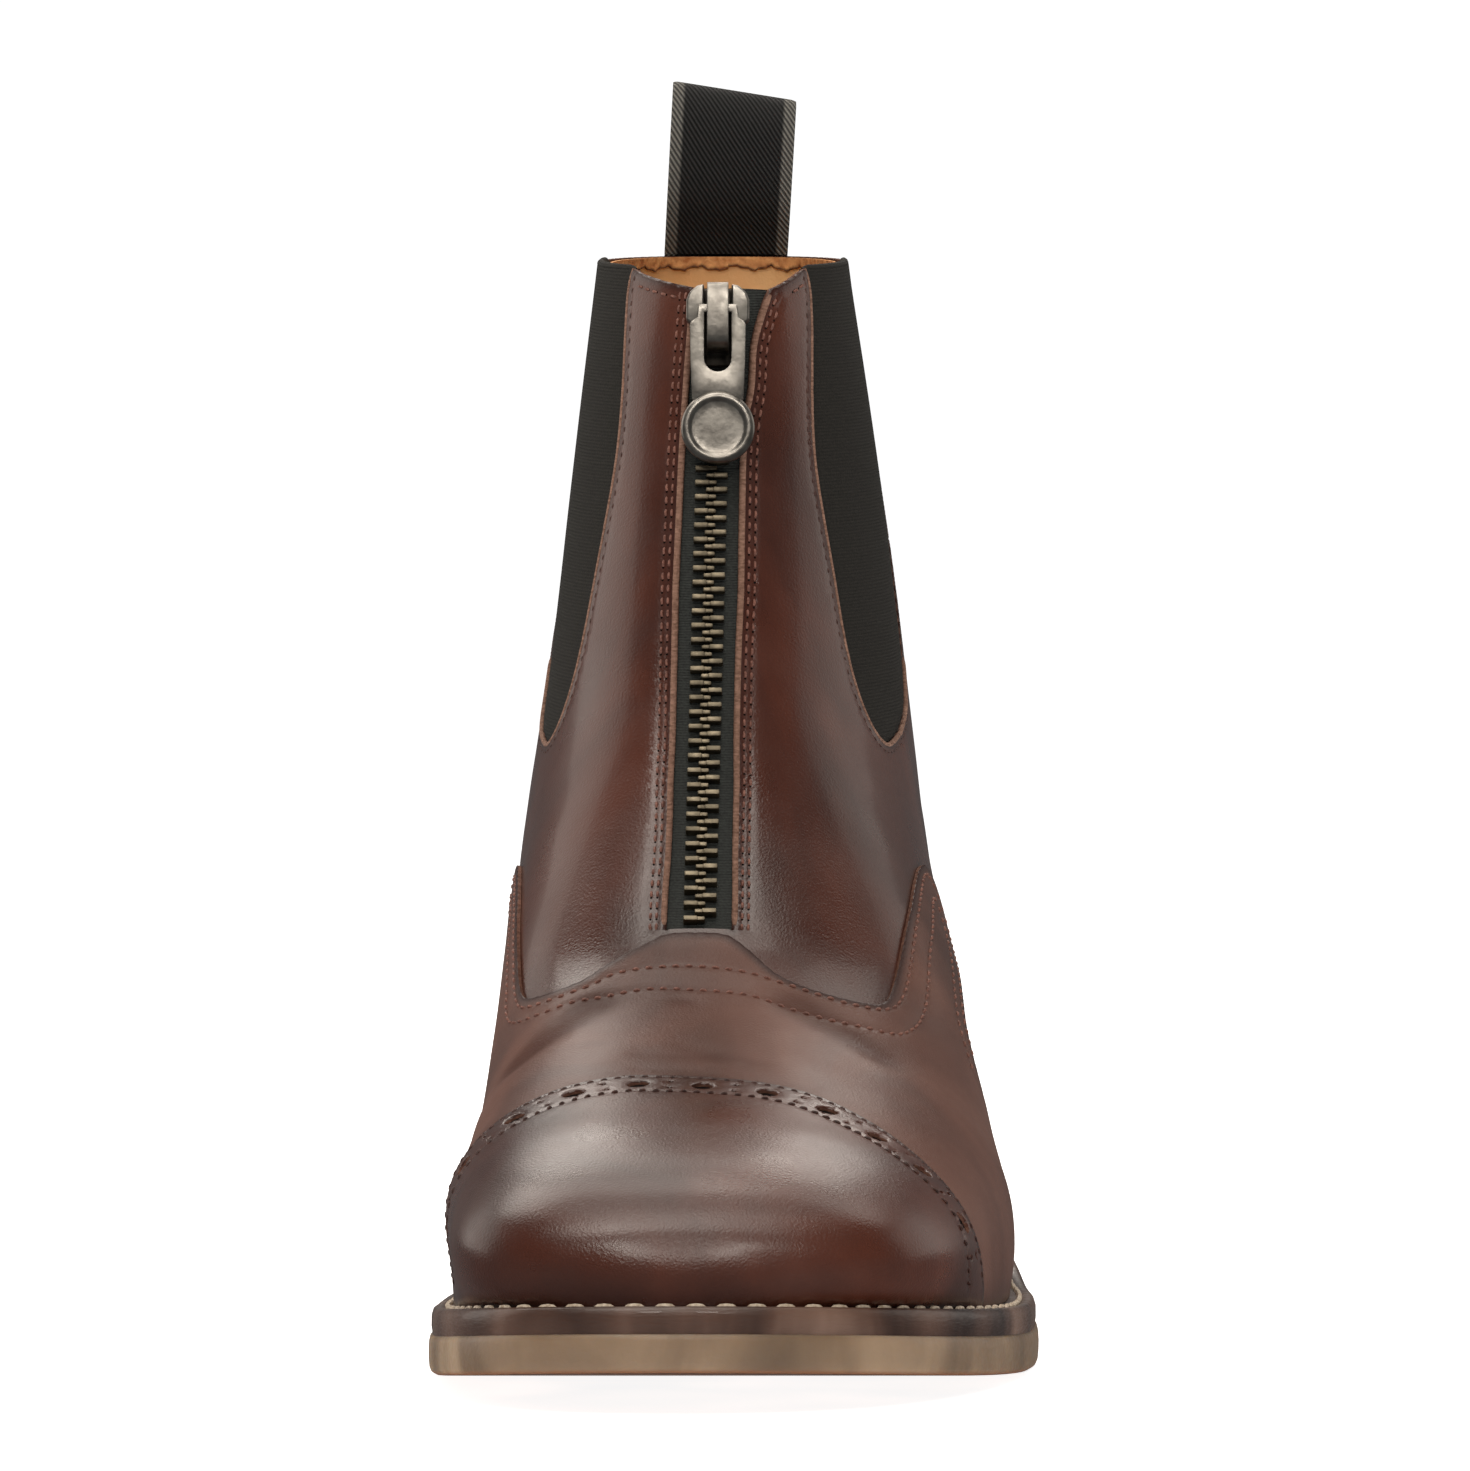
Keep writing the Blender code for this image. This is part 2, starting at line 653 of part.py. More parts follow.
def build_upper():
    leather = new_material("brown leather", (0.09, 0.025, 0.016), 0.32)
    around = np.linspace(0, 1, AROUND + 1)
    upper = shell("upper", section_steps(0, COLLAR_ROW), around, -WALL, 0.0, leather)
    gore = rounded(GORE_EDGE, steps=2)
    boolean(upper, side_tool("gore_cut_inner", grown(gore, OVERLAY_GAP), -BIG, COLLAR_BACK_X), "DIFFERENCE")
    boolean(upper, side_tool("gore_cut_outer", grown(gore, OVERLAY_GAP), COLLAR_BACK_X, BIG), "DIFFERENCE")
    boolean(upper, slot_tool("zip_cut", grown(ZIP_SLOT, OVERLAY_GAP)), "DIFFERENCE")
    boolean(upper, slot_tool("dip_cut", COLLAR_DIP), "DIFFERENCE")


def cap_outline(gap):
    """Side view of everything ahead of the cap line."""
    line = [(CAP_LINE + CAP_LEAN * (z - SEAM_HEIGHT) + gap, z) for z in (-BIG, BIG)]
    return [(-BIG, -BIG), *line, (-BIG, BIG)]


def build_overlays():
    leather = new_material("overlay leather", (0.085, 0.022, 0.014), 0.3)
    around = np.linspace(0, 1, AROUND + 1)
    cap = shell("toe_cap", section_steps(0, 7), around, OVERLAY_GAP, CAP_TOP, leather)
    boolean(cap, side_tool("cap_edge", cap_outline(0.0), -BIG, BIG, CAP_SKEW), "INTERSECT")
    front = [(VAMP_FRONT, v) for v in np.linspace(1, 0, AROUND + 1)]
    sides = [[(u, v) for u in np.arange(VAMP_FRONT + 0.5, VAMP_EDGE[0][0], 0.5)] for v in (0.0, 1.0)]
    outline = [*front, *sides[0], *rounded(VAMP_EDGE, steps=2), *sides[1][::-1]]
    vamp = patch("vamp", outline, VAMP_FOOT, VAMP_TOP, leather)
    boolean(vamp, side_tool("vamp_front", cap_outline(OVERLAY_GAP), -BIG, BIG, CAP_SKEW), "DIFFERENCE")


def build_gores():
    elastic = new_material("ribbed elastic", (0.03, 0.028, 0.022), 0.8)
    gore = rounded(GORE_EDGE, steps=2)
    for name, near, far, side in (
        ("gore_inner", -BIG, COLLAR_BACK_X, np.linspace(0.06, 0.42, 11)),
        ("gore_outer", COLLAR_BACK_X, BIG, np.linspace(0.58, 0.94, 11)),
    ):
        panel = shell(name, section_steps(11, COLLAR_ROW), side, GORE_INNER, GORE_OUTER, elastic)
        boolean(panel, side_tool(f"{name}_edge", gore, near, far), "INTERSECT")


def front_row(z):
    """Place among the sections where the front line has height z."""
    rows = np.linspace(0, COLLAR_ROW, 2001)
    return float(np.interp(z, smooth(NUMBERED, rows, 4), rows))


def front_frame(z, x):
    """Point on the front line, with the directions along x, up the boot and outward."""
    row = front_row(z)
    point = surface(row, 0.5)
    out = normals(row, 0.5)
    out[0] = 0
    out /= np.linalg.norm(out)
    up = np.array([0.0, -out[2], out[1]])
    up *= math.copysign(1, up[2])
    return np.array([x, point[1], point[2]]), np.array([1.0, 0, 0]), up, out


def build_zip():
    tape = shell(
        "zip_tape",
        section_steps(9, COLLAR_ROW),
        np.linspace(0.36, 0.64, 7),
        TAPE_INNER,
        TAPE_OUTER,
        new_material("zip tape", (0.02, 0.023, 0.02), 0.85),
    )
    boolean(tape, slot_tool("tape_edge", ZIP_SLOT), "INTERSECT")
    boolean(tape, slot_tool("tape_top", COLLAR_DIP), "DIFFERENCE")
    brass = new_material("antique brass", (0.42, 0.34, 0.2), 0.35, 1.0)
    rows = round((CHAIN_HEAD[1] - CHAIN_FOOT[1]) / TOOTH_PITCH)
    heights = np.linspace(CHAIN_FOOT[1], CHAIN_HEAD[1], rows + 1)
    middles = np.linspace(CHAIN_FOOT[0], CHAIN_HEAD[0], rows + 1)
    columns = (-TOOTH_REACH, -CHAIN_CORE, CHAIN_CORE, TOOTH_REACH)
    points = []
    for depth in (CHAIN_OUTER, CHAIN_INNER):
        for z, x in zip(heights, middles):
            point, right, _, out = front_frame(z, x)
            points += [point + right * column + out * depth for column in columns]
    wide, layer = len(columns), len(columns) * (rows + 1)
    cells = {(row, 1) for row in range(rows)} | {(row, 2 * (row % 2)) for row in range(rows)}
    faces = []
    for row, column in sorted(cells):
        a = row * wide + column
        ring = (a, a + 1, a + 1 + wide, a + wide)
        faces += [ring, tuple(n + layer for n in ring)]
        near = ((row - 1, column), (row, column + 1), (row + 1, column), (row, column - 1))
        for n, other in enumerate(near):
            if other not in cells:
                p, q = ring[n], ring[(n + 1) % 4]
                faces.append((p, q, q + layer, p + layer))
    used = sorted({n for face in faces for n in face})
    place = {n: k for k, n in enumerate(used)}
    faces = [tuple(place[n] for n in face) for face in faces]
    new_object("zip_chain", [points[n] for n in used], faces, parts, brass)


def local_prism(outline, frame, low, high):
    """Prism over an outline in a front frame's own plane, between two distances outward."""
    point, right, up, out = frame
    return prism(outline, lambda a, b, end: point + right * a + up * b + out * (low, high)[end])


def build_slider():
    metal = new_material("pewter", (0.5, 0.48, 0.44), 0.3, 1.0)
    x, z = SLIDER_AT
    frame = front_frame(z, x)
    point, right, up, out = frame
    slider = new_object(
        "zip_slider", *local_prism(SLIDER_BODY, frame, SLIDER_INNER, SLIDER_OUTER), parts, metal
    )
    top = SLIDER_OUTER + BRIDGE_RISE
    arch = (
        (BRIDGE_FOOT, SLIDER_OUTER - 1),
        (BRIDGE_FOOT + BRIDGE_THICK, SLIDER_OUTER - 1),
        (BRIDGE_FOOT + BRIDGE_THICK, top - 2 * BRIDGE_THICK),
        (BRIDGE_FOOT + 2 * BRIDGE_THICK, top - BRIDGE_THICK),
        (BRIDGE_TOP - 2 * BRIDGE_THICK, top - BRIDGE_THICK),
        (BRIDGE_TOP - BRIDGE_THICK, top - 2 * BRIDGE_THICK),
        (BRIDGE_TOP - BRIDGE_THICK, SLIDER_OUTER - 1),
        (BRIDGE_TOP, SLIDER_OUTER - 1),
        (BRIDGE_TOP, top - BRIDGE_THICK),
        (BRIDGE_TOP - BRIDGE_THICK, top),
        (BRIDGE_FOOT + BRIDGE_THICK, top),
        (BRIDGE_FOOT, top - BRIDGE_THICK),
    )
    half = BRIDGE_WIDTH / 2
    bridge = cutter(
        "slider_bridge",
        *prism(arch, lambda a, b, end: point + right * (-half, half)[end] + up * a + out * b),
    )
    boolean(slider, bridge, "UNION")
    build_pull(frame, metal)


def build_pull(frame, metal):
    point, right, up, out = frame
    axis = (point + out * PULL_AXIS, right, up, out)
    edge = PULL_THICK / 2
    tab = (
        (-PULL_HALF, edge),
        (PULL_HALF, edge),
        (PULL_HALF, -TAB_LENGTH),
        (SLOT_HALF, -DISC_DROP),
        (-SLOT_HALF, -DISC_DROP),
        (-PULL_HALF, -TAB_LENGTH),
    )
    pull = new_object("zip_pull", *local_prism(tab, axis, -edge, edge), parts, metal)
    window = (
        (-SLOT_HALF, -edge),
        (SLOT_HALF, -edge),
        (SLOT_HALF, -SLOT_LENGTH),
        (-SLOT_HALF, -SLOT_LENGTH),
    )
    boolean(pull, cutter("pull_window", *local_prism(window, axis, -BIG, BIG)), "DIFFERENCE")
    turns = np.linspace(0, 2 * math.pi, DISC_SIDES, endpoint=False)
    disc = [(DISC_RADIUS * math.cos(a), DISC_RADIUS * math.sin(a) - DISC_DROP) for a in turns]
    round_tab = cutter("pull_disc", *local_prism(disc, axis, -DISC_THICK / 2, DISC_THICK / 2))
    boolean(pull, round_tab, "UNION")
    origin = to_world(axis[0])[0]
    pull.data.transform(Matrix.Translation(-origin))
    pull.location = origin


def build_loop():
    """Webbing loop that rises from the collar's back edge and comes down behind it."""
    s_back, _, s_front, _, _, _, half, belly, _, power = SECTIONS[COLLAR_ROW]
    depth = belly * (s_back - s_front)
    across = np.linspace(-LOOP_WIDTH / 2, LOOP_WIDTH / 2, LOOP_COLUMNS)
    bend = depth * (1 - (1 - (np.abs(across) / half) ** power) ** (1 / power))
    collar = SECTIONS[COLLAR_ROW][3]
    path = np.array(LOOP_PATH)
    along = np.gradient(path[:, :2], axis=0)
    along /= np.linalg.norm(along, axis=1, keepdims=True)
    points = []
    for side in (0.5, -0.5):
        for (back, z, follow), (ds, dz) in zip(path, along):
            over = max(z - collar, 0.0)
            slant = min(over / LOOP_WIDTH, 1.0) * LOOP_SLANT
            for x, dip in zip(across, bend):
                thick = LOOP_THICK * side
                points.append(
                    (
                        LOOP_X + x + over * LOOP_LEAN,
                        s_back + back - dip * follow - dz * thick,
                        z + ds * thick - x * slant,
                    )
                )
    rows, wide = len(path), LOOP_COLUMNS
    layer = rows * wide
    faces = []
    for i in range(rows - 1):
        for j in range(wide - 1):
            a = i * wide + j
            ring = (a, a + 1, a + 1 + wide, a + wide)
            faces += [ring, tuple(n + layer for n in ring)]
    rim = [*range(wide), *(i * wide + wide - 1 for i in range(1, rows))]
    rim += range(layer - 2, layer - wide - 1, -1)
    rim += [i * wide for i in range(rows - 2, 0, -1)]
    faces += [(a, b, b + layer, a + layer) for a, b in zip(rim, rim[1:] + rim[:1])]
    new_object("pull_loop", points, faces, parts, new_material("twill webbing", (0.02, 0.02, 0.02), 0.9))


clear_scene()
parts = new_collection(NAME)
cutters = new_collection(f"{NAME}_cutters")
build_sole()
build_heel()
build_upper()
build_overlays()
build_gores()
build_zip()
build_slider()
build_loop()
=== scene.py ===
"""Looks of a left jodhpur boot in brown leather, built over the frame of its CAD solids.

Tables are in millimetres: x to the boot's outer side, s back from the toe's end, z up from the floor.
"""
import json
import math

import bmesh
import bpy
import numpy as np
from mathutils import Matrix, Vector
from mathutils.geometry import delaunay_2d_cdt
from mathutils.kdtree import KDTree

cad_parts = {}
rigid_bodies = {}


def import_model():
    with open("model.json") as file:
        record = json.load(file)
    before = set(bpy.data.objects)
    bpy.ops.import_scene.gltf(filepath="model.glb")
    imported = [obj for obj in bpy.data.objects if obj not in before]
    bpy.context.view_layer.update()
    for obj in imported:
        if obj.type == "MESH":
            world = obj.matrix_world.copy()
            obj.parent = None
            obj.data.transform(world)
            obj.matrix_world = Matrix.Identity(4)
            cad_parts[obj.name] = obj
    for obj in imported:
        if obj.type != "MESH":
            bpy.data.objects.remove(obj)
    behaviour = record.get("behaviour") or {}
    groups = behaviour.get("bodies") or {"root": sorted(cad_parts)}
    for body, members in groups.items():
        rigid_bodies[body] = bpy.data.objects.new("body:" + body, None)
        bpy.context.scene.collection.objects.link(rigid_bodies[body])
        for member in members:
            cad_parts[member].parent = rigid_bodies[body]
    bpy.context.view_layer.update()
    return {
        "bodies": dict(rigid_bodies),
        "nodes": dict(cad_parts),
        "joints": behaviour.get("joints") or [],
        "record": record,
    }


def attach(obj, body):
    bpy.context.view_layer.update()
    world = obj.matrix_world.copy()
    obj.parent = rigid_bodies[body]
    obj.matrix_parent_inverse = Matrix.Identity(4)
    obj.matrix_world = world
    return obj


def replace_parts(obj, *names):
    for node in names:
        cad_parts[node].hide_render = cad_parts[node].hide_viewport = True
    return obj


# Sole sizes
SOLE_LENGTH = 280.0
TOE_SPRING = 7.0
SPRING_END = 85.0
SPRING_CURVE = 1.4
HEEL_LIFT = 22.0
ARCH_START = 108.0
ARCH_END = 190.0
OUTSOLE_THICK = 6.5
WELT_THICK = 4.0
SEAT_GAP = 0.3
SEAM_GAP = 0.5
SEAM_TUCK = 0.35
HEEL_BREAST = 198.0
GROOVE_WIDTH = 3.0
GROOVE_DEPTH = 1.4
GROOVE_NUDGE = 0.12
FOREFOOT_GROOVES = (34.0, 44.0, 54.0, 64.0, 74.0, 112.0)

# Plan of the outsole: s, inner x, outer x
SOLE_OUTLINE = (
    (0.0, -9.0, -9.0), (3.0, -27.0, 8.5), (10.0, -37.0, 20.5), (25.0, -45.0, 33.0),
    (50.0, -49.2, 43.5), (75.0, -50.0, 48.7), (95.0, -48.5, 50.0), (120.0, -43.0, 48.5),
    (150.0, -35.0, 43.0), (180.0, -31.5, 37.5), (210.0, -32.0, 35.0), (240.0, -33.0, 34.0),
    (255.0, -31.0, 31.8), (270.0, -23.3, 23.7), (277.0, -13.0, 13.2), (280.0, 0.0, 0.0),
)

# How far the upper's foot lies inside the outsole's edge: s, margin
UPPER_MARGIN = (
    (0.0, 6.9), (60.0, 6.3), (80.0, 5.8), (110.0, 5.2), (140.0, 4.2), (200.0, 3.0), (280.0, 2.6),
)

# Sections of the upper, each in a plane from the back or sole to the front:
# s and rise of the back end over the sole seam, s and z of the front end, x at the widest level and
# at the front, half width, widest level as a share of the plane, roundness before and behind it
SECTIONS = (
    (6.9, 0.0, 7.0, 21.5, -9.0, -9.0, 0.0, 0.45, 2.2, 2.2),
    (11.0, 0.0, 9.0, 27.2, -8.2, -9.4, 20.0, 0.42, 2.2, 2.2),
    (20.0, 0.0, 14.5, 32.4, -6.8, -9.8, 32.0, 0.38, 2.25, 2.2),
    (33.0, 0.0, 24.5, 37.2, -5.4, -10.0, 37.6, 0.33, 2.3, 2.2),
    (48.0, 0.0, 39.0, 41.2, -3.6, -10.0, 40.3, 0.3, 2.35, 2.2),
    (64.0, 0.0, 56.0, 44.4, -2.3, -10.0, 42.0, 0.27, 2.35, 2.2),
    (80.0, 0.0, 73.0, 48.0, -0.8, -9.4, 43.9, 0.25, 2.35, 2.2),
    (98.0, 0.0, 90.0, 52.5, 1.0, -8.2, 44.2, 0.26, 2.4, 2.2),
    (118.0, 0.0, 105.0, 57.9, 1.6, -7.0, 42.8, 0.3, 2.35, 2.2),
    (140.0, 0.0, 117.5, 66.0, 1.2, -6.2, 40.8, 0.36, 2.3, 2.2),
    (165.0, 0.0, 125.0, 74.5, 0.7, -5.8, 39.0, 0.42, 2.3, 2.2),
    (190.0, 0.0, 131.0, 83.0, 0.1, -5.4, 37.9, 0.45, 2.25, 2.2),
    (215.0, 0.0, 137.0, 92.0, -0.45, -5.2, 37.05, 0.45, 2.25, 2.2),
    (243.0, 0.0, 142.5, 102.0, -0.8, -5.0, 36.2, 0.45, 2.2, 2.2),
    (266.0, 0.0, 147.5, 112.5, -1.05, -4.8, 35.25, 0.45, 2.2, 2.2),
    (277.4, 0.0, 152.0, 124.0, -1.05, -4.5, 34.25, 0.45, 2.2, 2.3),
    (279.0, 17.0, 156.0, 136.5, -0.9, -4.2, 32.3, 0.45, 2.2, 2.4),
    (278.5, 42.0, 159.5, 149.0, -1.0, -3.9, 30.2, 0.45, 2.2, 2.5),
    (274.0, 74.0, 162.0, 160.0, -1.2, -3.5, 27.8, 0.46, 2.2, 2.6),
    (269.5, 109.0, 164.0, 170.0, -1.6, -3.1, 25.0, 0.47, 2.2, 2.7),
    (267.5, 145.0, 165.5, 178.3, -2.1, -2.8, 22.0, 0.48, 2.2, 2.7),
)
HEEL_ROW = 15
COLLAR_ROW = len(SECTIONS) - 1
COLLAR_BACK_X = -1.4

# Working out the surface: steps for its slopes, parts of the seam's sides, the upper's least width over
# the seam, its upper arc's stretch, and a size that counts as none
STEP = 0.02
SLOPE_STEP = 0.004
SEAM_PARTS = 400
SEAM_COVER = 1.002
HIGH_STRETCH = 1.1
TINY = 1e-9

# Finding places: axes of the views, places round the boot where the zip is looked for, start row, grid,
# rounds and pace of the search, steps along lines of places, places tested at a time, and samples of the
# front line
SIDE_VIEW = (1, 2)
FRONT_VIEW = (0, 2)
ZIP_SPAN = (0.4, 0.6)
SEARCH_ROW = 6
SEARCH_GRID = (141, 81)
SEARCH_ROUNDS = 6
SEARCH_PACE = 0.8
LINE_PARTS = 16
GAP_STEP = 0.3
BATCH = 2000
FRONT_SAMPLES = 2001

# Mesh finish: gap that welding closes in metres, angle of a bevelled edge in radians, and the angles in
# degrees from which shading is sharp, on plain pieces and on bevelled ones
WELD_GAP = 3e-6
BEVEL_FROM = 0.5
SHARP = 50
BEVEL_SHARP = 40

# Vamp outline as section number and place round it:
# up the inner wing, across the throat, down the outer wing
VAMP_FRONT = 3.2
VAMP_EDGE = (
    (8.80, 0.0), (9.00, 0.130), (9.70, 0.188), (10.90, 0.200), (11.80, 0.208), (12.50, 0.232),
    (12.70, 0.258), (12.45, 0.276), (11.70, 0.284), (10.80, 0.286), (9.90, 0.290), (9.25, 0.298),
    (8.93, 0.314), (8.74, 0.350), (8.70, 0.390), (8.85, 0.418), (9.13, 0.456), (9.30, 0.476),
    (9.32, 0.500), (9.28, 0.520), (9.02, 0.539), (8.68, 0.562), (8.54, 0.588), (8.50, 0.620),
    (8.58, 0.655), (8.78, 0.677), (9.30, 0.687), (9.97, 0.692), (10.72, 0.696), (11.52, 0.703),
    (12.15, 0.713), (12.48, 0.726), (12.48, 0.748), (12.05, 0.774), (11.20, 0.792), (10.20, 0.802),
    (9.60, 0.815), (9.00, 0.870), (8.80, 1.0),
)

# Side gores: outline in side view, from the collar down the front edge and up the rear edge
GORE_EDGE = (
    (177.0, 174.0), (172.0, 158.0), (169.5, 145.0), (168.0, 127.0), (166.5, 111.0), (168.0, 102.0),
    (173.0, 98.0), (181.0, 98.2), (192.0, 100.2), (203.0, 104.5), (214.0, 114.0), (224.0, 131.0),
    (231.0, 150.0), (236.0, 172.0),
)

# Zip: left and right side of its slot in front view, from the foot up; chain with a tooth's bar and head as
# outline and depths; slider, pull tab and disc
SLOT_LEFT = ((-11.5, 69.6), (-10.5, 88.8), (-8.8, 145.0))
SLOT_RIGHT = (
    (-0.5, 69.6), (-0.2, 88.8), (1.0, 145.0), (2.5, 158.6), (3.0, 166.0), (4.9, 172.3), (5.9, 177.5),
)
TOOTH_PITCH = 2.4
TOOTH_BAR = (((0.35, -0.45), (2.75, -0.45), (2.75, 0.45), (0.35, 0.45)), -1.3, 0.55)
TOOTH_HEAD = (((-0.9, -0.36), (0.5, -0.38), (0.5, 0.38), (-0.9, 0.36)), -1.0, 0.4)
TOOTH_BEVEL = 0.2
CHAIN_FOOT = (-5.9, 70.6)
CHAIN_HEAD = (-3.5, 161.0)
SLIDER_AT = (-2.9, 171.2)
PULL_AXIS = 4.0
PULL_HALF = 4.7
PULL_CORNER = 1.0
WINDOW_HALF = 2.3
WINDOW_LENGTH = 10.9
TAB_LENGTH = 15.0
TAB_HALF = 0.6
TAB_BEVEL = 0.4
DISC_DROP = 20.4
DISC_SIDES = 64

# Pull loop: distance behind the collar's back edge and height along the webbing's middle line,
# and how far it follows the collar's curve there; then its cross-section, slant, lean and mesh
LOOP_PATH = (
    (-1.1, 178.8, 1.0), (-2.3, 183.0, 0.95), (-4.4, 188.3, 0.8), (-5.2, 194.3, 0.45),
    (-4.7, 201.0, 0.3), (-2.6, 205.2, 0.25), (0.3, 206.5, 0.25), (3.2, 205.2, 0.25),
    (5.2, 201.0, 0.3), (5.2, 194.3, 0.45), (3.6, 186.3, 0.7), (1.6, 179.0, 1.0), (1.6, 172.0, 1.0),
    (2.1, 164.0, 1.0),
)
LOOP_WIDTH = 21.6
LOOP_THICK = 1.5
LOOP_SLANT = 0.16
LOOP_LEAN = 0.055
LOOP_X = -1.6
LOOP_POINTS = 25
LOOP_STEPS = 6
LOOP_RIM = 0.62
LOOP_RIM_WIDTH = 0.8

# Toe cap's edge as section number and place round it, from the inner side to the outer side
CAP_EDGE = (
    (5.60, 0.0), (5.40, 0.06), (5.30, 0.15), (5.35, 0.25), (5.60, 0.34), (5.78, 0.40),
    (5.87, 0.46), (5.84, 0.49), (5.78, 0.53), (5.75, 0.57), (5.62, 0.625), (5.30, 0.685),
    (4.88, 0.755), (4.50, 0.823), (4.32, 0.885), (4.42, 0.94), (4.50, 1.0),
)

# Sheets over the upper's surface: their lower and upper faces and the radius of their rounded edges
VAMP_HEIGHT = 0.8
CAP_HEIGHT = 2.0
QUARTER_SHEET = (-1.1, 0.0, 0.6)
VAMP_SHEET = (0.05, VAMP_HEIGHT, 0.3)
CAP_SHEET = (0.4, CAP_HEIGHT, 0.4)
LINING_SHEET = (-2.3, -1.9, 0.5)
FACING_SHEET = (-2.7, -2.32, 0.2)
GORE_SHEET = (-1.75, -0.45, 0.4)
TAPE_SHEET = (-1.8, -1.15, 0.5)

# Quarters: front row, the collar's dip at the zip and how far its front corners fall in rows and turns
QUARTER_FRONT = 6.0
DIP_ROW = 19.63
CORNER_DROP = (0.05, 0.012)

# Gores: room round the elastic, its binding, and the sides and end tapers of rolled edges
GORE_GAP = 0.12
BINDING_RADIUS = 0.7
BINDING_SUNK = 1.1
BINDING_STEP = 1.5
ROLL_SIDES = 12
ROLL_ENDS = (0.3, 0.8)

# Lining: rows at the front, the top, the shoulders and the zip, room beside the zip, steps of its mesh
LINING_FRONT = 1.0
LINING_TOP = COLLAR_ROW - 0.02
LINING_SHOULDER = COLLAR_ROW - 0.06
LINING_DIP = DIP_ROW - 0.08
LINING_ROOM = 0.4
LINING_STEP = 1.2
LINING_SPACING = 2.6

# Facing and zip tape: the facing's width, the waves of its torn edge and its stretches of the collar,
# how far the tape reaches beside the slot, and the steps of their meshes
FACING = 2.0
TEAR = ((0.35, 0.8), (0.25, 2.3))
FACING_SPANS = (("facing_inner", 0.0, 0.36), ("facing_outer", 0.63, 1.0))
TAPE_REACH = 3.5
FINE_SPACING = 1.4

# Turned edges: distance from the cut and radius at the zip and at the gores, height, step along them, and
# the height up to which they show behind the gores
ZIP_TURN = (0.5, 0.6)
GORE_TURN = (0.35, 0.42)
TURN_HEIGHT = 0.16
TURN_STEP = 1.2
GORE_RIM_TOP = 112.0

# Mesh of a sheet: steps along its edges and troughs, longest step between its rows, room kept free beside
# its loops, rings of points beside its rounded edges and troughs, one of how many grid points its
# underside keeps, a turn's length beside a section's, and the distance given where no edge is near
EDGE_STEP = 0.8
TROUGH_STEP = 0.9
ROW_STEP = 0.12
LOOP_CLEAR = 0.08
EDGE_RINGS = (0.18, 0.5, 1.0)
TROUGH_RINGS = (-1.3, -0.5, 0, 0.5, 1.3)
UNDERSIDE_SHARE = 9
V_SPREAD = 14.0
FAR = 50.0

# Sewing: shape of a stitch, grooves, rows beside the edges with the sections they keep to, the radius of
# each thread and how deep it lies, and needle holes, whose dark insides are painted shade
STITCH_PITCH = 2.2
STITCH_ARCH = np.array((-0.9, 0.35, 0.55, 0.35, -0.9))
STITCH_TAPER = np.array((0.6, 0.95, 1.0, 0.95, 0.6))
STITCH_POINTS = len(STITCH_ARCH)
THREAD_SIDES = 6
TROUGH_HALF = 0.5
TROUGH_DEPTH = 0.16
GORE_ROW = 1.7
ZIP_ROWS = (1.7, 2.8)
COLLAR_DROP = 2.2
BACK_ROW = 1.6
LOWEST_ROW = 8.0
HIGHEST_ROW = COLLAR_ROW - 0.02
ROW_TRIM = 3
SEAM_THREAD = 0.24
VAMP_THREAD = 0.26
GORE_THREAD = 0.2
GORE_THREAD_SUNK = 0.3
CAP_THREAD = 0.3
CAP_THREAD_SUNK = 0.2
CAP_SLANT = 0.35
NEEDLE_RADIUS = 0.2
NEEDLE_DEPTH = 0.3
NEEDLE_RIM = 0.05

# Vamp's two rows of stitches as section number and place round it
VAMP_ROWS = (
    (
        (9.1, 0.13), (9.85, 0.18), (11.0, 0.193), (12.1, 0.212), (12.55, 0.25), (12.3, 0.269),
        (11.2, 0.276), (10.0, 0.28), (9.2, 0.288), (8.83, 0.306), (8.6, 0.35), (8.57, 0.4),
        (8.68, 0.432), (8.7, 0.475), (8.69, 0.502), (8.61, 0.544), (8.53, 0.566), (8.44, 0.615),
        (8.47, 0.645), (8.63, 0.676), (8.95, 0.695), (9.6, 0.704), (10.85, 0.707), (12.05, 0.719),
        (12.3, 0.737), (11.9, 0.768), (11.0, 0.785), (9.9, 0.797), (9.3, 0.825),
    ),
    (
        (8.8, 0.12), (9.7, 0.167), (11.0, 0.181), (12.0, 0.203), (12.35, 0.238), (12.1, 0.256),
        (11.0, 0.26), (9.9, 0.262), (9.05, 0.268), (8.65, 0.296), (8.42, 0.345), (8.38, 0.387),
        (8.31, 0.428), (8.31, 0.471), (8.26, 0.503), (8.2, 0.545), (8.08, 0.58), (8.05, 0.626),
        (8.2, 0.68), (8.45, 0.704), (8.85, 0.722), (9.4, 0.73), (10.4, 0.729), (11.7, 0.734),
        (11.9, 0.742), (11.5, 0.757), (10.6, 0.77), (9.6, 0.785), (9.0, 0.82),
    ),
)

# Toe cap: rows of stitches and punched holes by their distance from its edge, and the dark discs under the
# holes that paint the shade in them
CAP_ROWS = (1.1, 9.3)
BROGUE_LINE = 5.4
BROGUE_PITCH = 10.5
BROGUE_RADIUS = 1.75
PIN_RADIUS = 0.45
PIN_GAP = 1.7
CAP_STEP = 0.9
CAP_ROW_SPAN = (0.03, 0.97)
BROGUE_SPAN = (0.08, 0.95)
HOLE_SIDES = 18
PIN_SIDES = 8
HOLE_SHADE_RADIUS = BROGUE_RADIUS + 0.4
HOLE_SHADE_FOOT = 0.9
HOLE_SHADE_HEAD = CAP_HEIGHT - 0.75
HOLE_SHADE_SIDES = 12

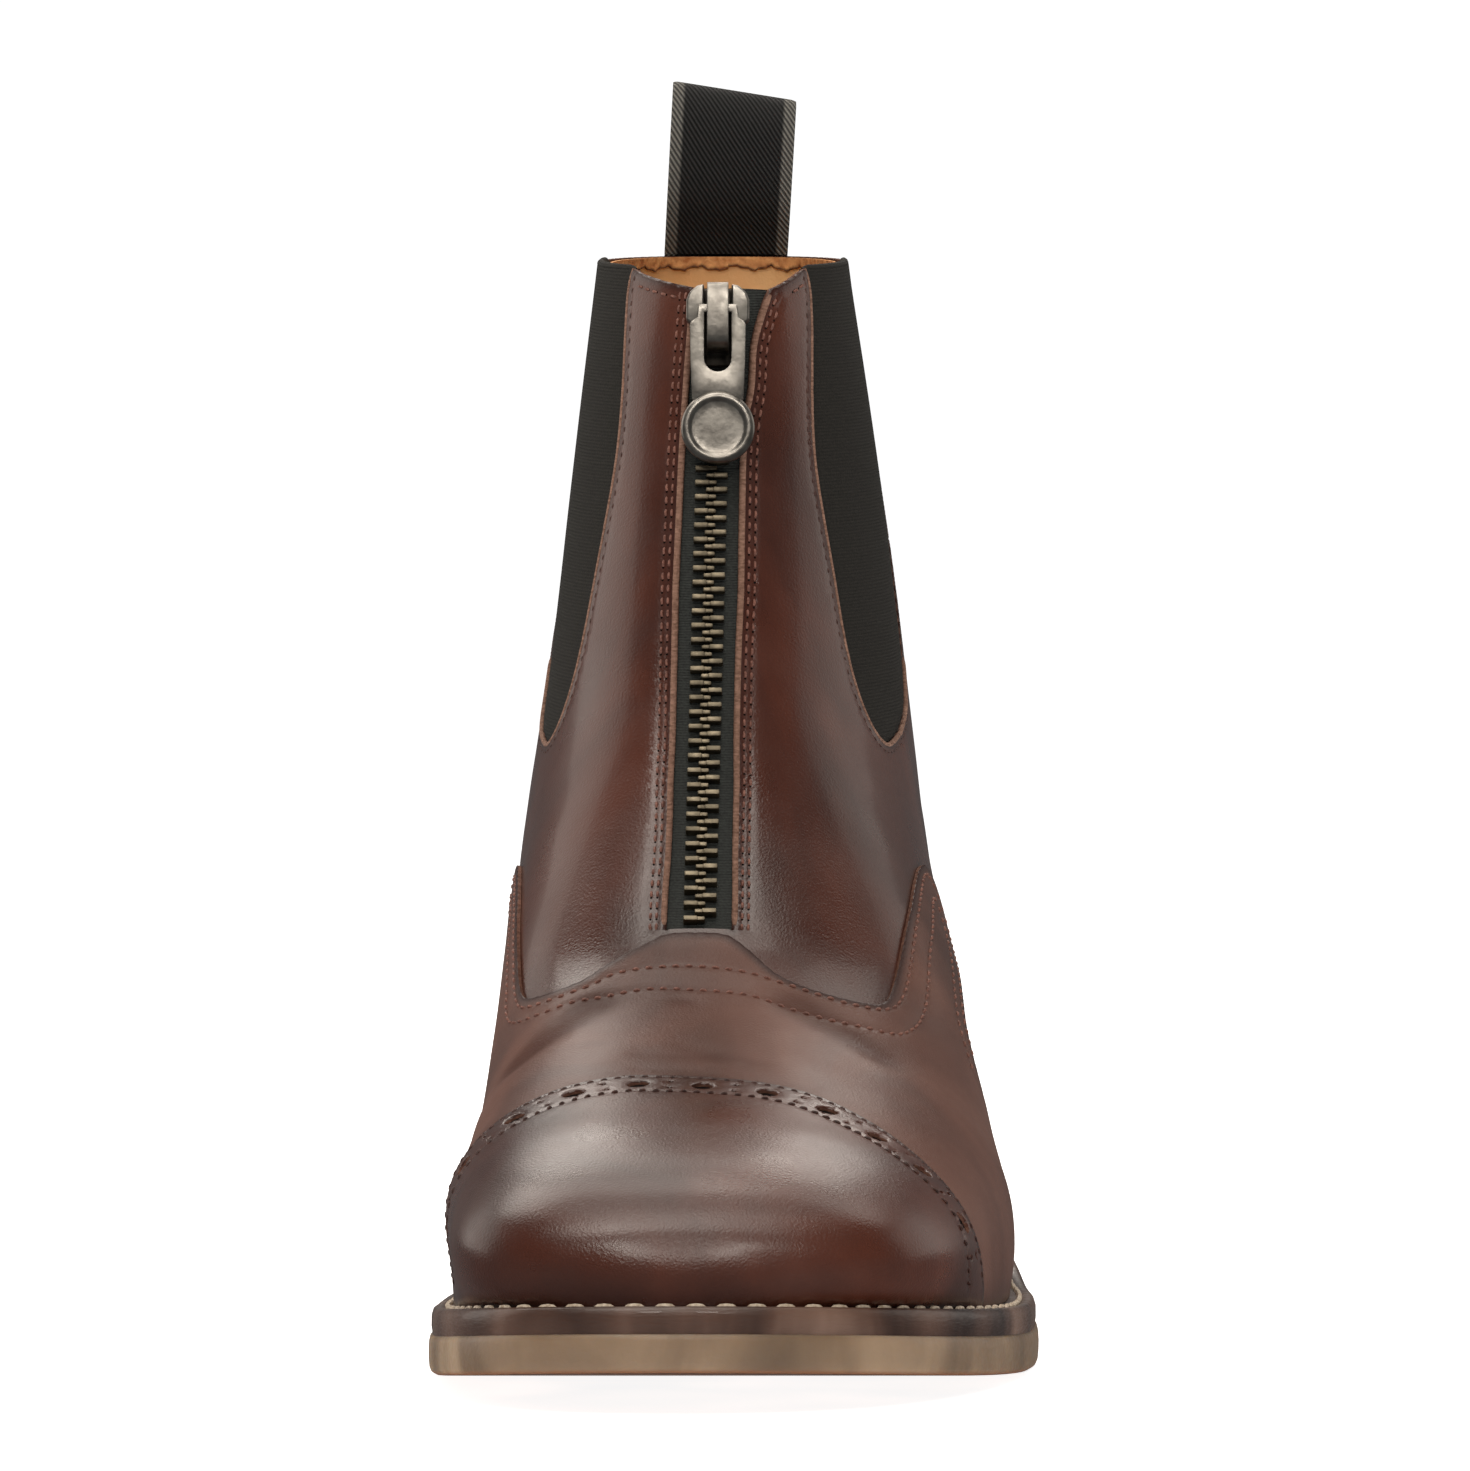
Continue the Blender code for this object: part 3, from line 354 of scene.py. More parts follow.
# Creases and folds: start and end place, half width and height
CREASES = (
    ((8.16, 0.408), (7.61, 0.310), 5.0, -0.6),
    ((8.06, 0.492), (8.04, 0.498), 2.0, -0.3),
    ((6.68, 0.470), (6.53, 0.520), 1.8, -0.2),
    ((6.24, 0.472), (6.10, 0.522), 1.8, -0.2),
    ((8.14, 0.585), (7.56, 0.675), 5.0, -0.5),
    ((6.8, 0.503), (6.5, 0.561), 2.5, -0.2),
)

# Slider: depths and bevels, its core and one lobe of its crown in its own plane, the bridge's side view,
# then the disc's profile as radius and height
CORE_DEPTH = (-0.4, 1.3)
CORE_BEVEL = 0.4
CROWN_DEPTH = (0.2, 3.2)
CROWN_BEVEL = 0.7
BRIDGE_HALF = 1.8
BRIDGE_BEVEL = 0.5
SLIDER_CORE = ((-4.4, 3.7), (4.4, 3.7), (4.7, 0.8), (2.9, -9.6), (-2.9, -9.6), (-4.7, 0.8))
CROWN_LOBE = (
    (2.3, -2.5), (4.6, -2.5), (5.3, -1.8), (5.3, 1.6), (4.8, 2.9), (3.5, 4.0), (2.3, 4.3),
)
BRIDGE_ARCH = (
    (-7.2, 0.8), (-6.0, 0.8), (-5.8, 3.4), (-4.8, 4.9), (2.2, 4.9), (3.2, 4.2), (3.5, 1.5),
    (4.4, 1.5), (4.3, 4.6), (3.1, 6.0), (-4.8, 6.3), (-6.6, 5.4), (-7.2, 3.6),
)
DISC_PROFILE = (
    (3.2, 0.72), (4.3, 0.72), (4.6, 0.8), (4.8, 1.0), (5.2, 1.08), (5.7, 1.0), (6.1, 0.7),
    (6.2, 0.3),
)

# Sole: insets from the outline and heights, from the bottom up
OUTSOLE_LEVELS = (
    (7.5, 0.0), (7.2, 0.0), (1.6, 0.0), (0.8, 0.1), (0.3, 0.4), (0.05, 1.0), (-0.05, 2.2),
    (-0.08, 3.6), (0.0, 5.2), (0.2, 6.0), (0.6, 6.4), (1.2, 6.5),
)
WELT_LEVELS = (
    (1.0, 6.75), (0.5, 7.0), (0.4, 7.6), (0.42, 9.4), (0.7, 10.3), (1.3, 10.75), (2.2, 10.8),
    (2.7, 10.55), (3.1, 10.5), (3.5, 10.55), (4.0, 10.8), (5.6, 10.8),
)
INSOLE_LEVELS = ((8.2, 0.05), (8.0, 0.4), (8.0, 2.2), (8.5, 2.8), (9.6, 3.0))
HEEL_LEVELS = (
    (2.6, 0.0), (1.6, 0.3), (1.3, 0.9), (1.2, 5.6), (1.5, 5.8), (1.15, 6.0), (1.05, 10.8),
    (1.3, 11.0), (1.0, 11.2), (0.9, 16.0), (1.15, 16.2), (0.85, 16.4), (0.7, 21.2), (1.1, 21.65),
)

# Welt's stitches: inset, pitch, radius, depth, share of the pitch, and samples; stations round the sole
WELT_ROW = 3.1
WELT_PITCH = 4.9
WELT_THREAD = 0.45
WELT_SUNK = 0.15
WELT_STITCH = 0.86
WELT_SAMPLES = 801
OUTSOLE_STATIONS = 121
WELT_STATIONS = 141
HEEL_STATIONS = 61


def smooth(table, at, column, flat_start=False):
    """Monotone cubic through one column of a table whose first column is the place."""
    places = np.array([row[0] for row in table])
    values = np.array([row[column] for row in table])
    slopes = np.diff(values) / np.diff(places)
    turns = [2 * a * b / (a + b) if a * b > 0 else 0.0 for a, b in zip(slopes, slopes[1:])]
    tangents = np.array([0.0 if flat_start else slopes[0], *turns, slopes[-1]])
    at = np.asarray(at, float)
    k = np.clip(np.searchsorted(places, at, "right") - 1, 0, len(places) - 2)
    span = places[k + 1] - places[k]
    t = (at - places[k]) / span
    rise = (3 - 2 * t) * t * t
    ends = values[k] * (1 - rise) + values[k + 1] * rise
    return ends + span * t * (1 - t) * (tangents[k] * (1 - t) - tangents[k + 1] * t)


def unit(ways):
    """Directions with a length of one."""
    return ways / np.linalg.norm(ways, axis=-1, keepdims=True)


def travelled(points):
    """Length of a line of points up to each of them."""
    return np.concatenate([[0.0], np.cumsum(np.linalg.norm(np.diff(points, axis=0), axis=1))])


def read_off(at, marks, line):
    """Points of a line at some values of the marks along it."""
    return np.stack([np.interp(at, marks, column) for column in line.T], -1)


def round_trip(loop):
    """A loop with its first point once more at its end."""
    return np.vstack([loop, loop[:1]])


def full_turn(count):
    """Angles spaced evenly round a circle."""
    return np.arange(count) * 2 * math.pi / count


def lift(s):
    """Height of the outsole's underside over the floor."""
    toe = TOE_SPRING * (np.clip(SPRING_END - s, 0, None) / SPRING_END) ** SPRING_CURVE
    t = np.clip((s - ARCH_START) / (ARCH_END - ARCH_START), 0, 1)
    return toe + HEEL_LIFT * t * t * (3 - 2 * t)


WELT_FOOT = OUTSOLE_THICK + SEAT_GAP
SEAM_HEIGHT = WELT_FOOT + WELT_THICK + SEAM_GAP


def seam_height(s):
    """Height of the upper's lower edge."""
    return SEAM_HEIGHT + lift(s)


def angle_of(s):
    """Angle round half the sole at which a station lies."""
    return np.arccos(np.clip(1 - 2 * np.asarray(s, float) / SOLE_LENGTH, -1, 1))


OUTLINE_BY_ANGLE = tuple((float(angle_of(s)), inner, outer) for s, inner, outer in SOLE_OUTLINE)


def sole_ring(inset, angles):
    """Points (x, s) round the sole: toe, inner side, heel, outer side. inset is a size or a table."""
    sides = []
    for column, outward in ((1, -1), (2, 1)):
        at = np.clip(np.stack([angles - STEP, angles, angles + STEP]), 0, math.pi)
        x = smooth(OUTLINE_BY_ANGLE, at, column)
        s = SOLE_LENGTH / 2 * (1 - np.cos(at))
        dx, ds = x[2] - x[0], s[2] - s[0]
        dx[0], ds[0], dx[-1], ds[-1] = outward, 0.0, -outward, 0.0
        size = np.hypot(dx, ds)
        depth = inset if np.isscalar(inset) else smooth(inset, s[1], 1)
        turn = outward * depth / size
        sides.append(np.stack([x[1] - ds * turn, s[1] + dx * turn], 1))
    return np.concatenate([sides[0], sides[1][-2:0:-1]])


def margin_seam():
    """Inner and outer side of the upper's sole seam as points (x, s), from toe to heel."""
    ring = sole_ring(UPPER_MARGIN, np.linspace(0, math.pi, SEAM_PARTS + 1))
    return ring[: SEAM_PARTS + 1], np.concatenate([ring[:1], ring[: SEAM_PARTS - 1 : -1]])


SEAM_INNER, SEAM_OUTER = margin_seam()
SEAM_TOE, SEAM_HEEL = SEAM_INNER[0, 1], SEAM_INNER[-1, 1]


def seam_at(s):
    """Middle and half width of the sole seam."""
    s = np.clip(s, SEAM_TOE, SEAM_HEEL)
    inner = np.interp(s, SEAM_INNER[:, 1], SEAM_INNER[:, 0])
    outer = np.interp(s, SEAM_OUTER[:, 1], SEAM_OUTER[:, 0])
    return (inner + outer) / 2, (outer - inner) / 2


NUMBERED = tuple((float(n), *row) for n, row in enumerate(SECTIONS))


def surface(u, v):
    """Outer face of the upper: u counts sections, v runs 0 to 1 from inner side to outer side."""
    u, v = np.broadcast_arrays(np.asarray(u, float), np.asarray(v, float))
    s_back = np.clip(smooth(NUMBERED, u, 1, True), SEAM_TOE, None)
    s_back = np.where(u < HEEL_ROW, np.minimum(s_back, SEAM_HEEL), s_back)
    rise = smooth(NUMBERED, u, 2)
    s_front = smooth(NUMBERED, u, 3, True)
    z_front, x_belly, x_front, half, belly, front_power, back_power = (
        smooth(NUMBERED, u, column) for column in range(4, 11)
    )
    seam_x, seam_half = seam_at(s_back)
    seam_half = np.where(u >= HEEL_ROW, 0.0, seam_half)
    half = np.maximum(half, seam_half * SEAM_COVER)
    z_back = seam_height(np.minimum(s_back, SEAM_HEEL)) + rise
    x_back = seam_x + COLLAR_BACK_X * rise / SECTIONS[COLLAR_ROW][1]
    safe = np.maximum(half, TINY)
    close = (1 - np.clip(seam_half / safe, 0, 1) ** back_power) ** (1 / back_power)
    last = np.arcsin(np.clip(close, 1e-6, 1) ** (back_power / 2))
    length = np.hypot(s_front - s_back, z_front - z_back)
    low_arc = np.hypot(belly * length, half - seam_half)
    high_arc = HIGH_STRETCH * np.hypot((1 - belly) * length, half)
    share = low_arc / (low_arc + high_arc)
    t = np.abs(2 * v - 1)
    low = t > 1 - share
    down = np.clip((t - 1 + share) / share, 0, 1) * last
    up = np.clip(1 - t / (1 - share), 0, 1) * math.pi / 2
    q = np.sin(down) ** (2 / back_power) / np.clip(close, 1e-6, 1)
    h = np.where(low, belly * (1 - q), belly + (1 - belly) * np.sin(up) ** (2 / front_power))
    low_width = np.abs(np.cos(down)) ** (2 / back_power)
    high_width = np.abs(np.cos(up)) ** (2 / front_power)
    width = half * np.where(low, low_width, high_width)
    width = np.where(t < TINY, 0.0, width)
    width = np.where((t > 1 - TINY) & (u >= HEEL_ROW), 0.0, width)
    middle = (
        x_back * (h - belly) * (h - 1) / belly
        - x_belly * h * (h - 1) / (belly * (1 - belly))
        + x_front * h * (h - belly) / (1 - belly)
    )
    x = middle + np.where(v < 0.5, -1, 1) * width
    return np.stack([x, s_back + (s_front - s_back) * h, z_back + (z_front - z_back) * h], -1)


def normals(u, v):
    """Unit outward directions of the upper's surface."""
    u, v = np.broadcast_arrays(np.asarray(u, float), np.asarray(v, float))
    u = np.clip(u, 2 * STEP, COLLAR_ROW - STEP)
    edge = STEP / 4
    within = np.clip(v, edge, 1 - edge)
    up = surface(u + STEP, within) - surface(u - STEP, within)
    across = surface(u, np.clip(v + edge, 0, 1)) - surface(u, np.clip(v - edge, 0, 1))
    return unit(np.cross(across, up))


def offset_points(us, vs, depth):
    """Surface points moved outward by depth, with the lower edge kept on the sole seam."""
    us, vs = np.asarray(us, float), np.asarray(vs, float)
    points, out = surface(us, vs), normals(us, vs)
    edge = (vs <= 0) | (vs >= 1)
    joined = (us == 0) | (edge & (us >= HEEL_ROW))
    mean = out + normals(us, 1 - vs)
    mean[:, 0] = 0
    out[joined] = unit(mean)[joined]
    moved = points + out * depth
    low = edge & (us < HEEL_ROW)
    moved[low, 2] = seam_height(moved[low, 1]) - SEAM_TUCK
    return moved


def relief(points):
    """Height that the listed creases and folds add at points of the upper's surface."""
    total = np.zeros(len(points))
    for start, end, width, height in CREASES:
        a, b = surface(*np.array((start, end)).T)
        share = np.clip((points - a) @ (b - a) / ((b - a) @ (b - a)), 0, 1)
        gap = np.linalg.norm(points - a - share[:, None] * (b - a), axis=1)
        total += height * np.exp(-((gap / width) ** 2))
    return total


def lifted(u, v, height):
    """Points over the upper's surface, creases included."""
    u, v = np.asarray(u, float), np.asarray(v, float)
    return offset_points(u, v, np.reshape(height + relief(surface(u, v)), (-1, 1)))


def rounded(path, closed=False, steps=4):
    """Catmull-Rom curve through the points of a path."""
    path = np.asarray(path, float)
    if closed:
        padded = np.concatenate([path[-1:], path, path[:2]])
    else:
        padded = np.concatenate([2 * path[:1] - path[1:2], path, 2 * path[-1:] - path[-2:-1]])
    curve = []
    for p, q, r, t in zip(padded, padded[1:], padded[2:], padded[3:]):
        for k in np.arange(steps) / steps:
            bend = (2 * p - 5 * q + 4 * r - t) * k**2 + (3 * q - p - 3 * r + t) * k**3
            curve.append(q + (r - p) * k / 2 + bend / 2)
    return np.array(curve if closed else [*curve, path[-1]])


def along(line, step):
    """Places spaced evenly along a line of places (u, v), its ends kept."""
    line = np.asarray(line, float)
    share = np.linspace(0, len(line) - 1, LINE_PARTS * (len(line) - 1) + 1)
    line = read_off(share, np.arange(len(line)), line)
    length = travelled(surface(*line.T))
    count = max(int(round(length[-1] / step)), 1)
    return read_off(np.linspace(0, length[-1], count + 1), length, line)


def joined_sides(*sides, step=EDGE_STEP):
    """Closed loop of places from sides that follow each other."""
    return np.concatenate([along(side, step)[:-1] for side in sides])


def slopes(u, v):
    """Directions of the surface along u and v, for a step of one."""
    e = SLOPE_STEP
    u = np.clip(u, 2 * e, COLLAR_ROW - e)
    v = np.clip(v, e, 1 - e)
    by_u = (surface(u + e, v) - surface(u - e, v)) / (2 * e)
    by_v = (surface(u, v + e / 4) - surface(u, v - e / 4)) / (e / 2)
    return by_u, by_v


def shifted(line, distance):
    """A line of places moved over the surface to its left by a distance."""
    line = np.asarray(line, float)
    u, v = line.T
    by_u, by_v = slopes(u, v)
    side = np.cross(normals(u, v), np.gradient(surface(u, v), axis=0))
    side *= distance / np.linalg.norm(side, axis=1, keepdims=True)
    uu, uv, vv = (by_u * by_u).sum(1), (by_u * by_v).sum(1), (by_v * by_v).sum(1)
    p, q = (side * by_u).sum(1), (side * by_v).sum(1)
    size = uu * vv - uv * uv
    moved = np.stack([u + (vv * p - uv * q) / size, v + (uu * q - uv * p) / size], 1)
    return np.clip(moved, (0, 0), (COLLAR_ROW, 1))


def beside(line, distance):
    """A line of places a millimetre apart, moved to the left of a line."""
    return shifted(along(line, 1), distance)


def inside(places, loops):
    """Which places lie inside an odd number of the closed loops."""
    result = np.zeros(len(places), bool)
    for loop in loops:
        u0, v0 = loop.T
        u1, v1 = np.roll(loop, -1, 0).T
        rise = np.where(v1 == v0, 1.0, v1 - v0)
        for part in np.array_split(np.arange(len(places)), len(places) // BATCH + 1):
            u, v = places[part, :1], places[part, 1:]
            crossed = ((v0 > v) != (v1 > v)) & (u < u0 + (v - v0) * (u1 - u0) / rise)
            result[part] ^= crossed.sum(1) % 2 == 1
    return result


def place_at(points, columns, low, high):
    """Places with v between low and high that a view's points fall on; columns are the view's axes."""
    points, columns = np.asarray(points, float), list(columns)
    rows, turns = SEARCH_GRID
    starts = np.linspace(SEARCH_ROW, COLLAR_ROW, rows), np.linspace(low, high, turns)
    us, vs = np.meshgrid(*starts, indexing="ij")
    us, vs = us.ravel(), vs.ravel()
    grid = surface(us, vs)[:, columns]
    near = [np.argmin(((grid - point) ** 2).sum(1)) for point in points]
    u, v = us[near], vs[near]
    for _ in range(SEARCH_ROUNDS):
        by_u, by_v = (slope[:, columns].T for slope in slopes(u, v))
        a, b = (points - surface(u, v)[:, columns]).T
        size = by_u[0] * by_v[1] - by_u[1] * by_v[0]
        u = np.clip(u + SEARCH_PACE * (a * by_v[1] - b * by_v[0]) / size, 0, COLLAR_ROW)
        v = np.clip(v + SEARCH_PACE * (by_u[0] * b - by_u[1] * a) / size, low, high)
    return np.stack([u, v], 1)


def gaps_to(points, lines):
    """Distance from points to the nearest of some lines of places."""
    samples = np.concatenate([surface(*along(line, GAP_STEP).T) for line in lines])
    tree = KDTree(len(samples))
    for n, sample in enumerate(samples):
        tree.insert(sample, n)
    tree.balance()
    return np.array([tree.find(point)[2] for point in points])


def loop_edges(loops):
    """Pairs of neighbours in closed loops whose points are counted one loop after another."""
    edges, base = [], 0
    for loop in loops:
        edges += [(base + k, base + (k + 1) % len(loop)) for k in range(len(loop))]
        base += len(loop)
    return edges


def triangles(points, loops):
    """Points, triangles and origins of a mesh over plane points that keeps the edges of loops."""
    flat = [Vector(point) for point in points.tolist()]
    made, _, faces, origin, *_ = delaunay_2d_cdt(flat, loop_edges(loops), [], 1, 1e-7)
    return made, np.array([face for face in faces if len(face) == 3]), origin


def triangulated(loops, places):
    """Triangles inside the first loop and outside the rest: places, faces, and the loops' own numbers."""
    spread = np.array((1.0, V_SPREAD))
    made, faces, origin = triangles(np.concatenate([*loops, places]) * spread, loops)
    made = np.array([tuple(point) for point in made]) / spread
    faces = faces[:, ::-1]
    faces = faces[inside(made[faces].mean(1), loops)]
    number = {source: n for n, sources in enumerate(origin) for source in sources}
    return made, faces, [number[n] for n in range(sum(len(loop) for loop in loops))]


def new_piece(name, points, faces, materials, slot, kinds=None, body="boot"):
    """A mesh of points in millimetres that rides on a body of the frame."""
    mesh = bpy.data.meshes.new(name)
    points = (np.asarray(points, float) - (0, SOLE_LENGTH / 2, 0)) / 1000
    mesh.from_pydata(points.tolist(), [], [tuple(int(n) for n in face) for face in faces])
    for material in materials:
        mesh.materials.append(material)
    if kinds is not None:
        mesh.polygons.foreach_set("material_index", np.asarray(kinds, np.int32))
    mesh.validate()
    mesh.shade_smooth()
    mesh.set_sharp_from_angle(angle=math.radians(SHARP))
    piece = bpy.data.objects.new(name, mesh)
    bpy.context.scene.collection.objects.link(piece)
    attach(piece, body)
    return piece


def put_attribute(piece, name, values):
    """Stores a value for each point of a piece."""
    attribute = piece.data.attributes.new(name, "FLOAT", "POINT")
    attribute.data.foreach_set("value", np.asarray(values, np.float32))


def welded(piece, turn=False):
    """Joins the points that lie on each other, and turns the faces outward where asked."""
    work = bmesh.new()
    work.from_mesh(piece.data)
    bmesh.ops.remove_doubles(work, verts=work.verts, dist=WELD_GAP)
    if turn:
        bmesh.ops.recalc_face_normals(work, faces=work.faces)
    work.to_mesh(piece.data)
    work.free()


def panel(name, loops, sheet, materials, slot, edges=(), troughs=(), spacing=1.6, burnt=()):
    """Sheet over the upper. The first loop is its outline, the rest are holes; edges are the lines of
    places whose rim is rounded, burnt the ones that are coloured if not all are; troughs are the lines
    of places that have a groove."""
    low, high, rounding = sheet
    lo, hi = loops[0].min(0), loops[0].max(0)
    du, dv = (spacing / np.linalg.norm(slope) for slope in slopes(*loops[0].mean(0)[:, None]))
    us = np.arange(lo[0] + du / 2, hi[0], min(du, ROW_STEP))
    vs = np.arange(lo[1] + dv / 2, hi[1], dv)
    grid = np.stack([axis.ravel() for axis in np.meshgrid(us, vs)], 1)
    rings = []
    for line in edges:
        line = along(line, EDGE_STEP)
        rings += [shifted(line, side * rounding * share) for share in EDGE_RINGS for side in (-1, 1)]
    for line in troughs:
        line = along(line, TROUGH_STEP)
        rings += [shifted(line, TROUGH_HALF * share) for share in TROUGH_RINGS]
    places = np.concatenate([grid, *rings])
    places = places[inside(places, loops)]
    rims = [round_trip(loop) for loop in loops]
    places = places[gaps_to(surface(*places.T), rims) > LOOP_CLEAR]
    top, faces, rim = triangulated(loops, places)
    coarse = grid[::UNDERSIDE_SHARE]
    bottom, under, low_rim = triangulated(loops, coarse[inside(coarse, loops)])
    count = len(top)
    flat = surface(*top.T)
    both = np.concatenate([flat, surface(*bottom.T)])
    near = gaps_to(both, edges) if edges else np.full(len(both), FAR)
    height = high - rounding + np.sqrt(rounding**2 - np.clip(rounding - near[:count], 0, None) ** 2)
    for line in troughs:
        height = height - TROUGH_DEPTH * np.exp(-((gaps_to(flat, [line]) / TROUGH_HALF) ** 2))
    points = np.concatenate([lifted(*top.T, height), lifted(*bottom.T, low)])
    u, v = np.concatenate(loops).T
    shut = (u <= 0) | (((v <= 0) | (v >= 1)) & (u >= HEEL_ROW))
    wall = [
        (rim[b], rim[a], count + low_rim[a], count + low_rim[b])
        for a, b in loop_edges(loops)
        if not (shut[a] and shut[b])
    ]
    last = len(materials) - 1
    kinds = [0] * len(faces) + [min(1, last)] * len(wall) + [last] * len(under)
    piece = new_piece(name, points, [*faces, *wall, *(under[:, ::-1] + count)], materials, slot, kinds)
    put_attribute(piece, "edge", gaps_to(both, burnt) if burnt else near)
    # Depth of the creases and folds, the mask by which the leather paints shade in them.
    put_attribute(piece, "fold_shade", -relief(both))
    welded(piece)
    return piece


def bridged(levels, around, base=0):
    """Faces between closed rings of points that follow each other."""
    faces = []
    for k in range(base, base + (levels - 1) * around, around):
        for j in range(around):
            a, b = k + j, k + (j + 1) % around
            faces.append((a, b, b + around, a + around))
    return faces


def tubes(stations, sides, radii, side_way, out_way):
    """Points and faces of closed tubes; stations holds the middle points of each tube."""
    count, steps = stations.shape[:2]
    turns = full_turn(sides)[:, None]
    ring = np.cos(turns) * side_way[:, :, None] + np.sin(turns) * out_way[:, :, None]
    points = (stations[:, :, None] + ring * np.reshape(radii, (1, -1, 1, 1))).reshape(-1, 3)
    faces = []
    for n in range(count):
        base = n * steps * sides
        last = base + (steps - 1) * sides
        faces += bridged(steps, sides, base)
        faces += [tuple(range(base + sides - 1, base - 1, -1)), tuple(range(last, last + sides))]
    return points, faces


def thread(middle, out, radius, slant=0.0):
    """Points and faces of stitches that bow over the surface; middle holds the points of each."""
    ahead = np.repeat((middle[:, -1] - middle[:, 0])[:, None], STITCH_POINTS, 1)
    side = unit(np.cross(out, ahead))
    leant = middle + side * (slant * np.linspace(-0.5, 0.5, STITCH_POINTS))[:, None]
    return tubes(leant, THREAD_SIDES, radius * STITCH_TAPER, side, out)


def merged(*shapes):
    """One list of points and one of faces from several."""
    points, faces, base = [], [], 0
    for some, more in shapes:
        points.append(np.asarray(some, float))
        faces += [tuple(int(n) + base for n in face) for face in more]
        base += len(some)
    return np.concatenate(points), faces


def stitches(name, rows, material, slot):
    """Rows of thread in one mesh. A row has its line of places, height, radius and slant."""
    shapes = []
    parts = STITCH_POINTS + 1
    for line, height, radius, slant in rows:
        line = along(line, STITCH_PITCH / parts)
        count = (len(line) - 1) // parts
        index = parts * np.arange(count)[:, None] + np.arange(STITCH_POINTS)
        u, v = line[index].transpose(2, 0, 1).reshape(2, -1)
        shape = (count, STITCH_POINTS, 3)
        middle = lifted(u, v, height + radius * np.tile(STITCH_ARCH, count)).reshape(shape)
        shapes.append(thread(middle, normals(u, v).reshape(shape), radius, slant * STITCH_PITCH))
    new_piece(name, *merged(*shapes), [material], slot)


def pegs(name, places, radius, low, high, material, slot, sides=8):
    """Short round pegs that stand on the surface, in one mesh."""
    out = normals(*places.T)
    side = unit(np.cross(out, (0.0, 0.0, 1.0)))
    stations = np.stack([lifted(*places.T, low), lifted(*places.T, high)], 1)
    both = [np.repeat(way[:, None], 2, 1) for way in (side, np.cross(side, out))]
    new_piece(name, *tubes(stations, sides, (radius, radius), *both), [material], slot)


# A texture's usual values
LOW = 0.3
HIGH = 0.7


class Shader:
    """Short ways to build a node material: each call adds nodes and returns an output."""

    def __init__(self, name):
        self.material = bpy.data.materials.new(name)
        self.material.use_nodes = True
        self.tree = self.material.node_tree
        self.main = self.tree.nodes["Principled BSDF"]
        self.place = self.node("TexCoord", "Object")

    def put(self, socket, value):
        """Links an output to a socket, or sets the socket's constant."""
        if isinstance(value, bpy.types.NodeSocket):
            self.tree.links.new(value, socket)
        else:
            socket.default_value = (*value, 1) if socket.type == "RGBA" else value

    def node(self, kind, output, inputs=(), **settings):
        """A new node with some inputs set or linked."""
        node = self.tree.nodes.new("ShaderNode" + kind)
        for name, value in settings.items():
            setattr(node, name, value)
        for socket, value in dict(inputs).items():
            self.put(node.inputs[socket], value)
        return node.outputs[output]

    def noise(self, scale, detail=3.0, stretch=(1, 1, 1), distortion=0.0):
        """Noise from 0 to 1, mostly between LOW and HIGH; scale counts features in a metre."""
        place = self.node("Mapping", "Vector", {"Vector": self.place, "Scale": stretch})
        inputs = {"Vector": place, "Scale": scale, "Detail": detail, "Distortion": distortion}
        return self.node("TexNoise", "Fac", inputs)

    def cells(self, scale):
        """Distance to the nearest cell middle."""
        return self.node("TexVoronoi", "Distance", {"Vector": self.place, "Scale": scale})

    def bands(self, scale, place, turn, distortion):
        """Soft bands across x of a turned place, about three in a unit for a scale of one."""
        place = self.node("Mapping", "Vector", {"Vector": place, "Rotation": turn})
        inputs = {"Vector": place, "Scale": scale, "Distortion": distortion}
        return self.node("TexWave", "Fac", inputs, wave_type="BANDS", bands_direction="X")

    def layers(self, scale, distortion):
        """Soft bands one above the other."""
        return self.bands(scale, self.place, (0, math.pi / 2, 0), distortion)

    def ramp(self, value, *stops):
        """Colours or grey values at places of a value."""
        output = self.node("ValToRGB", "Color", {"Fac": value})
        elements = output.node.color_ramp.elements
        while len(elements) < len(stops):
            elements.new(1.0)
        for element, (at, colour) in zip(elements, stops):
            element.position = at
            element.color = (colour,) * 3 + (1,) if isinstance(colour, float) else (*colour, 1)
        return output

    def tone(self, value, dark, light):
        """Colour between dark and light for a texture's usual values."""
        return self.ramp(value, (LOW, dark), (HIGH, light))

    def span(self, value, low, high):
        """A texture's usual values moved to low..high."""
        inputs = {"Value": value, "From Min": LOW, "From Max": HIGH, "To Min": low, "To Max": high}
        return self.node("MapRange", "Result", inputs)

    def mix(self, share, first, second):
        """Colour between two colours."""
        return self.node("Mix", 2, {"Factor": share, 6: first, 7: second}, data_type="RGBA")

    def share(self, value, none, full, least=0.0):
        """A soft share: the least at one value, 1 at another."""
        inputs = {"Value": value, "From Min": none, "From Max": full, "To Min": least}
        return self.node("MapRange", "Result", inputs, interpolation_type="SMOOTHSTEP")

    def attribute(self, name, none, full):
        """A mesh attribute as a soft share: 0 at one of its values, 1 at another."""
        return self.share(self.node("Attribute", "Fac", attribute_name=name), none, full)

    def edge(self, reach):
        """1 at a panel's rim, 0 at a reach in millimetres from it."""
        return self.attribute("edge", reach, 0.0)

    def bump(self, height, strength, distance, below=None):
        """Fine relief in metres, over another one if there is one below."""
        inputs = {"Height": height, "Strength": strength, "Distance": distance}
        if below is not None:
            inputs["Normal"] = below
        return self.node("Bump", "Normal", inputs)

    def finish(self, **sockets):
        """Sets the main shader's sockets by their names in small letters and gives the material."""
        for name, value in sockets.items():
            self.put(self.main.inputs[name.replace("_", " ").title().replace("Ior", "IOR")], value)
        return self.material


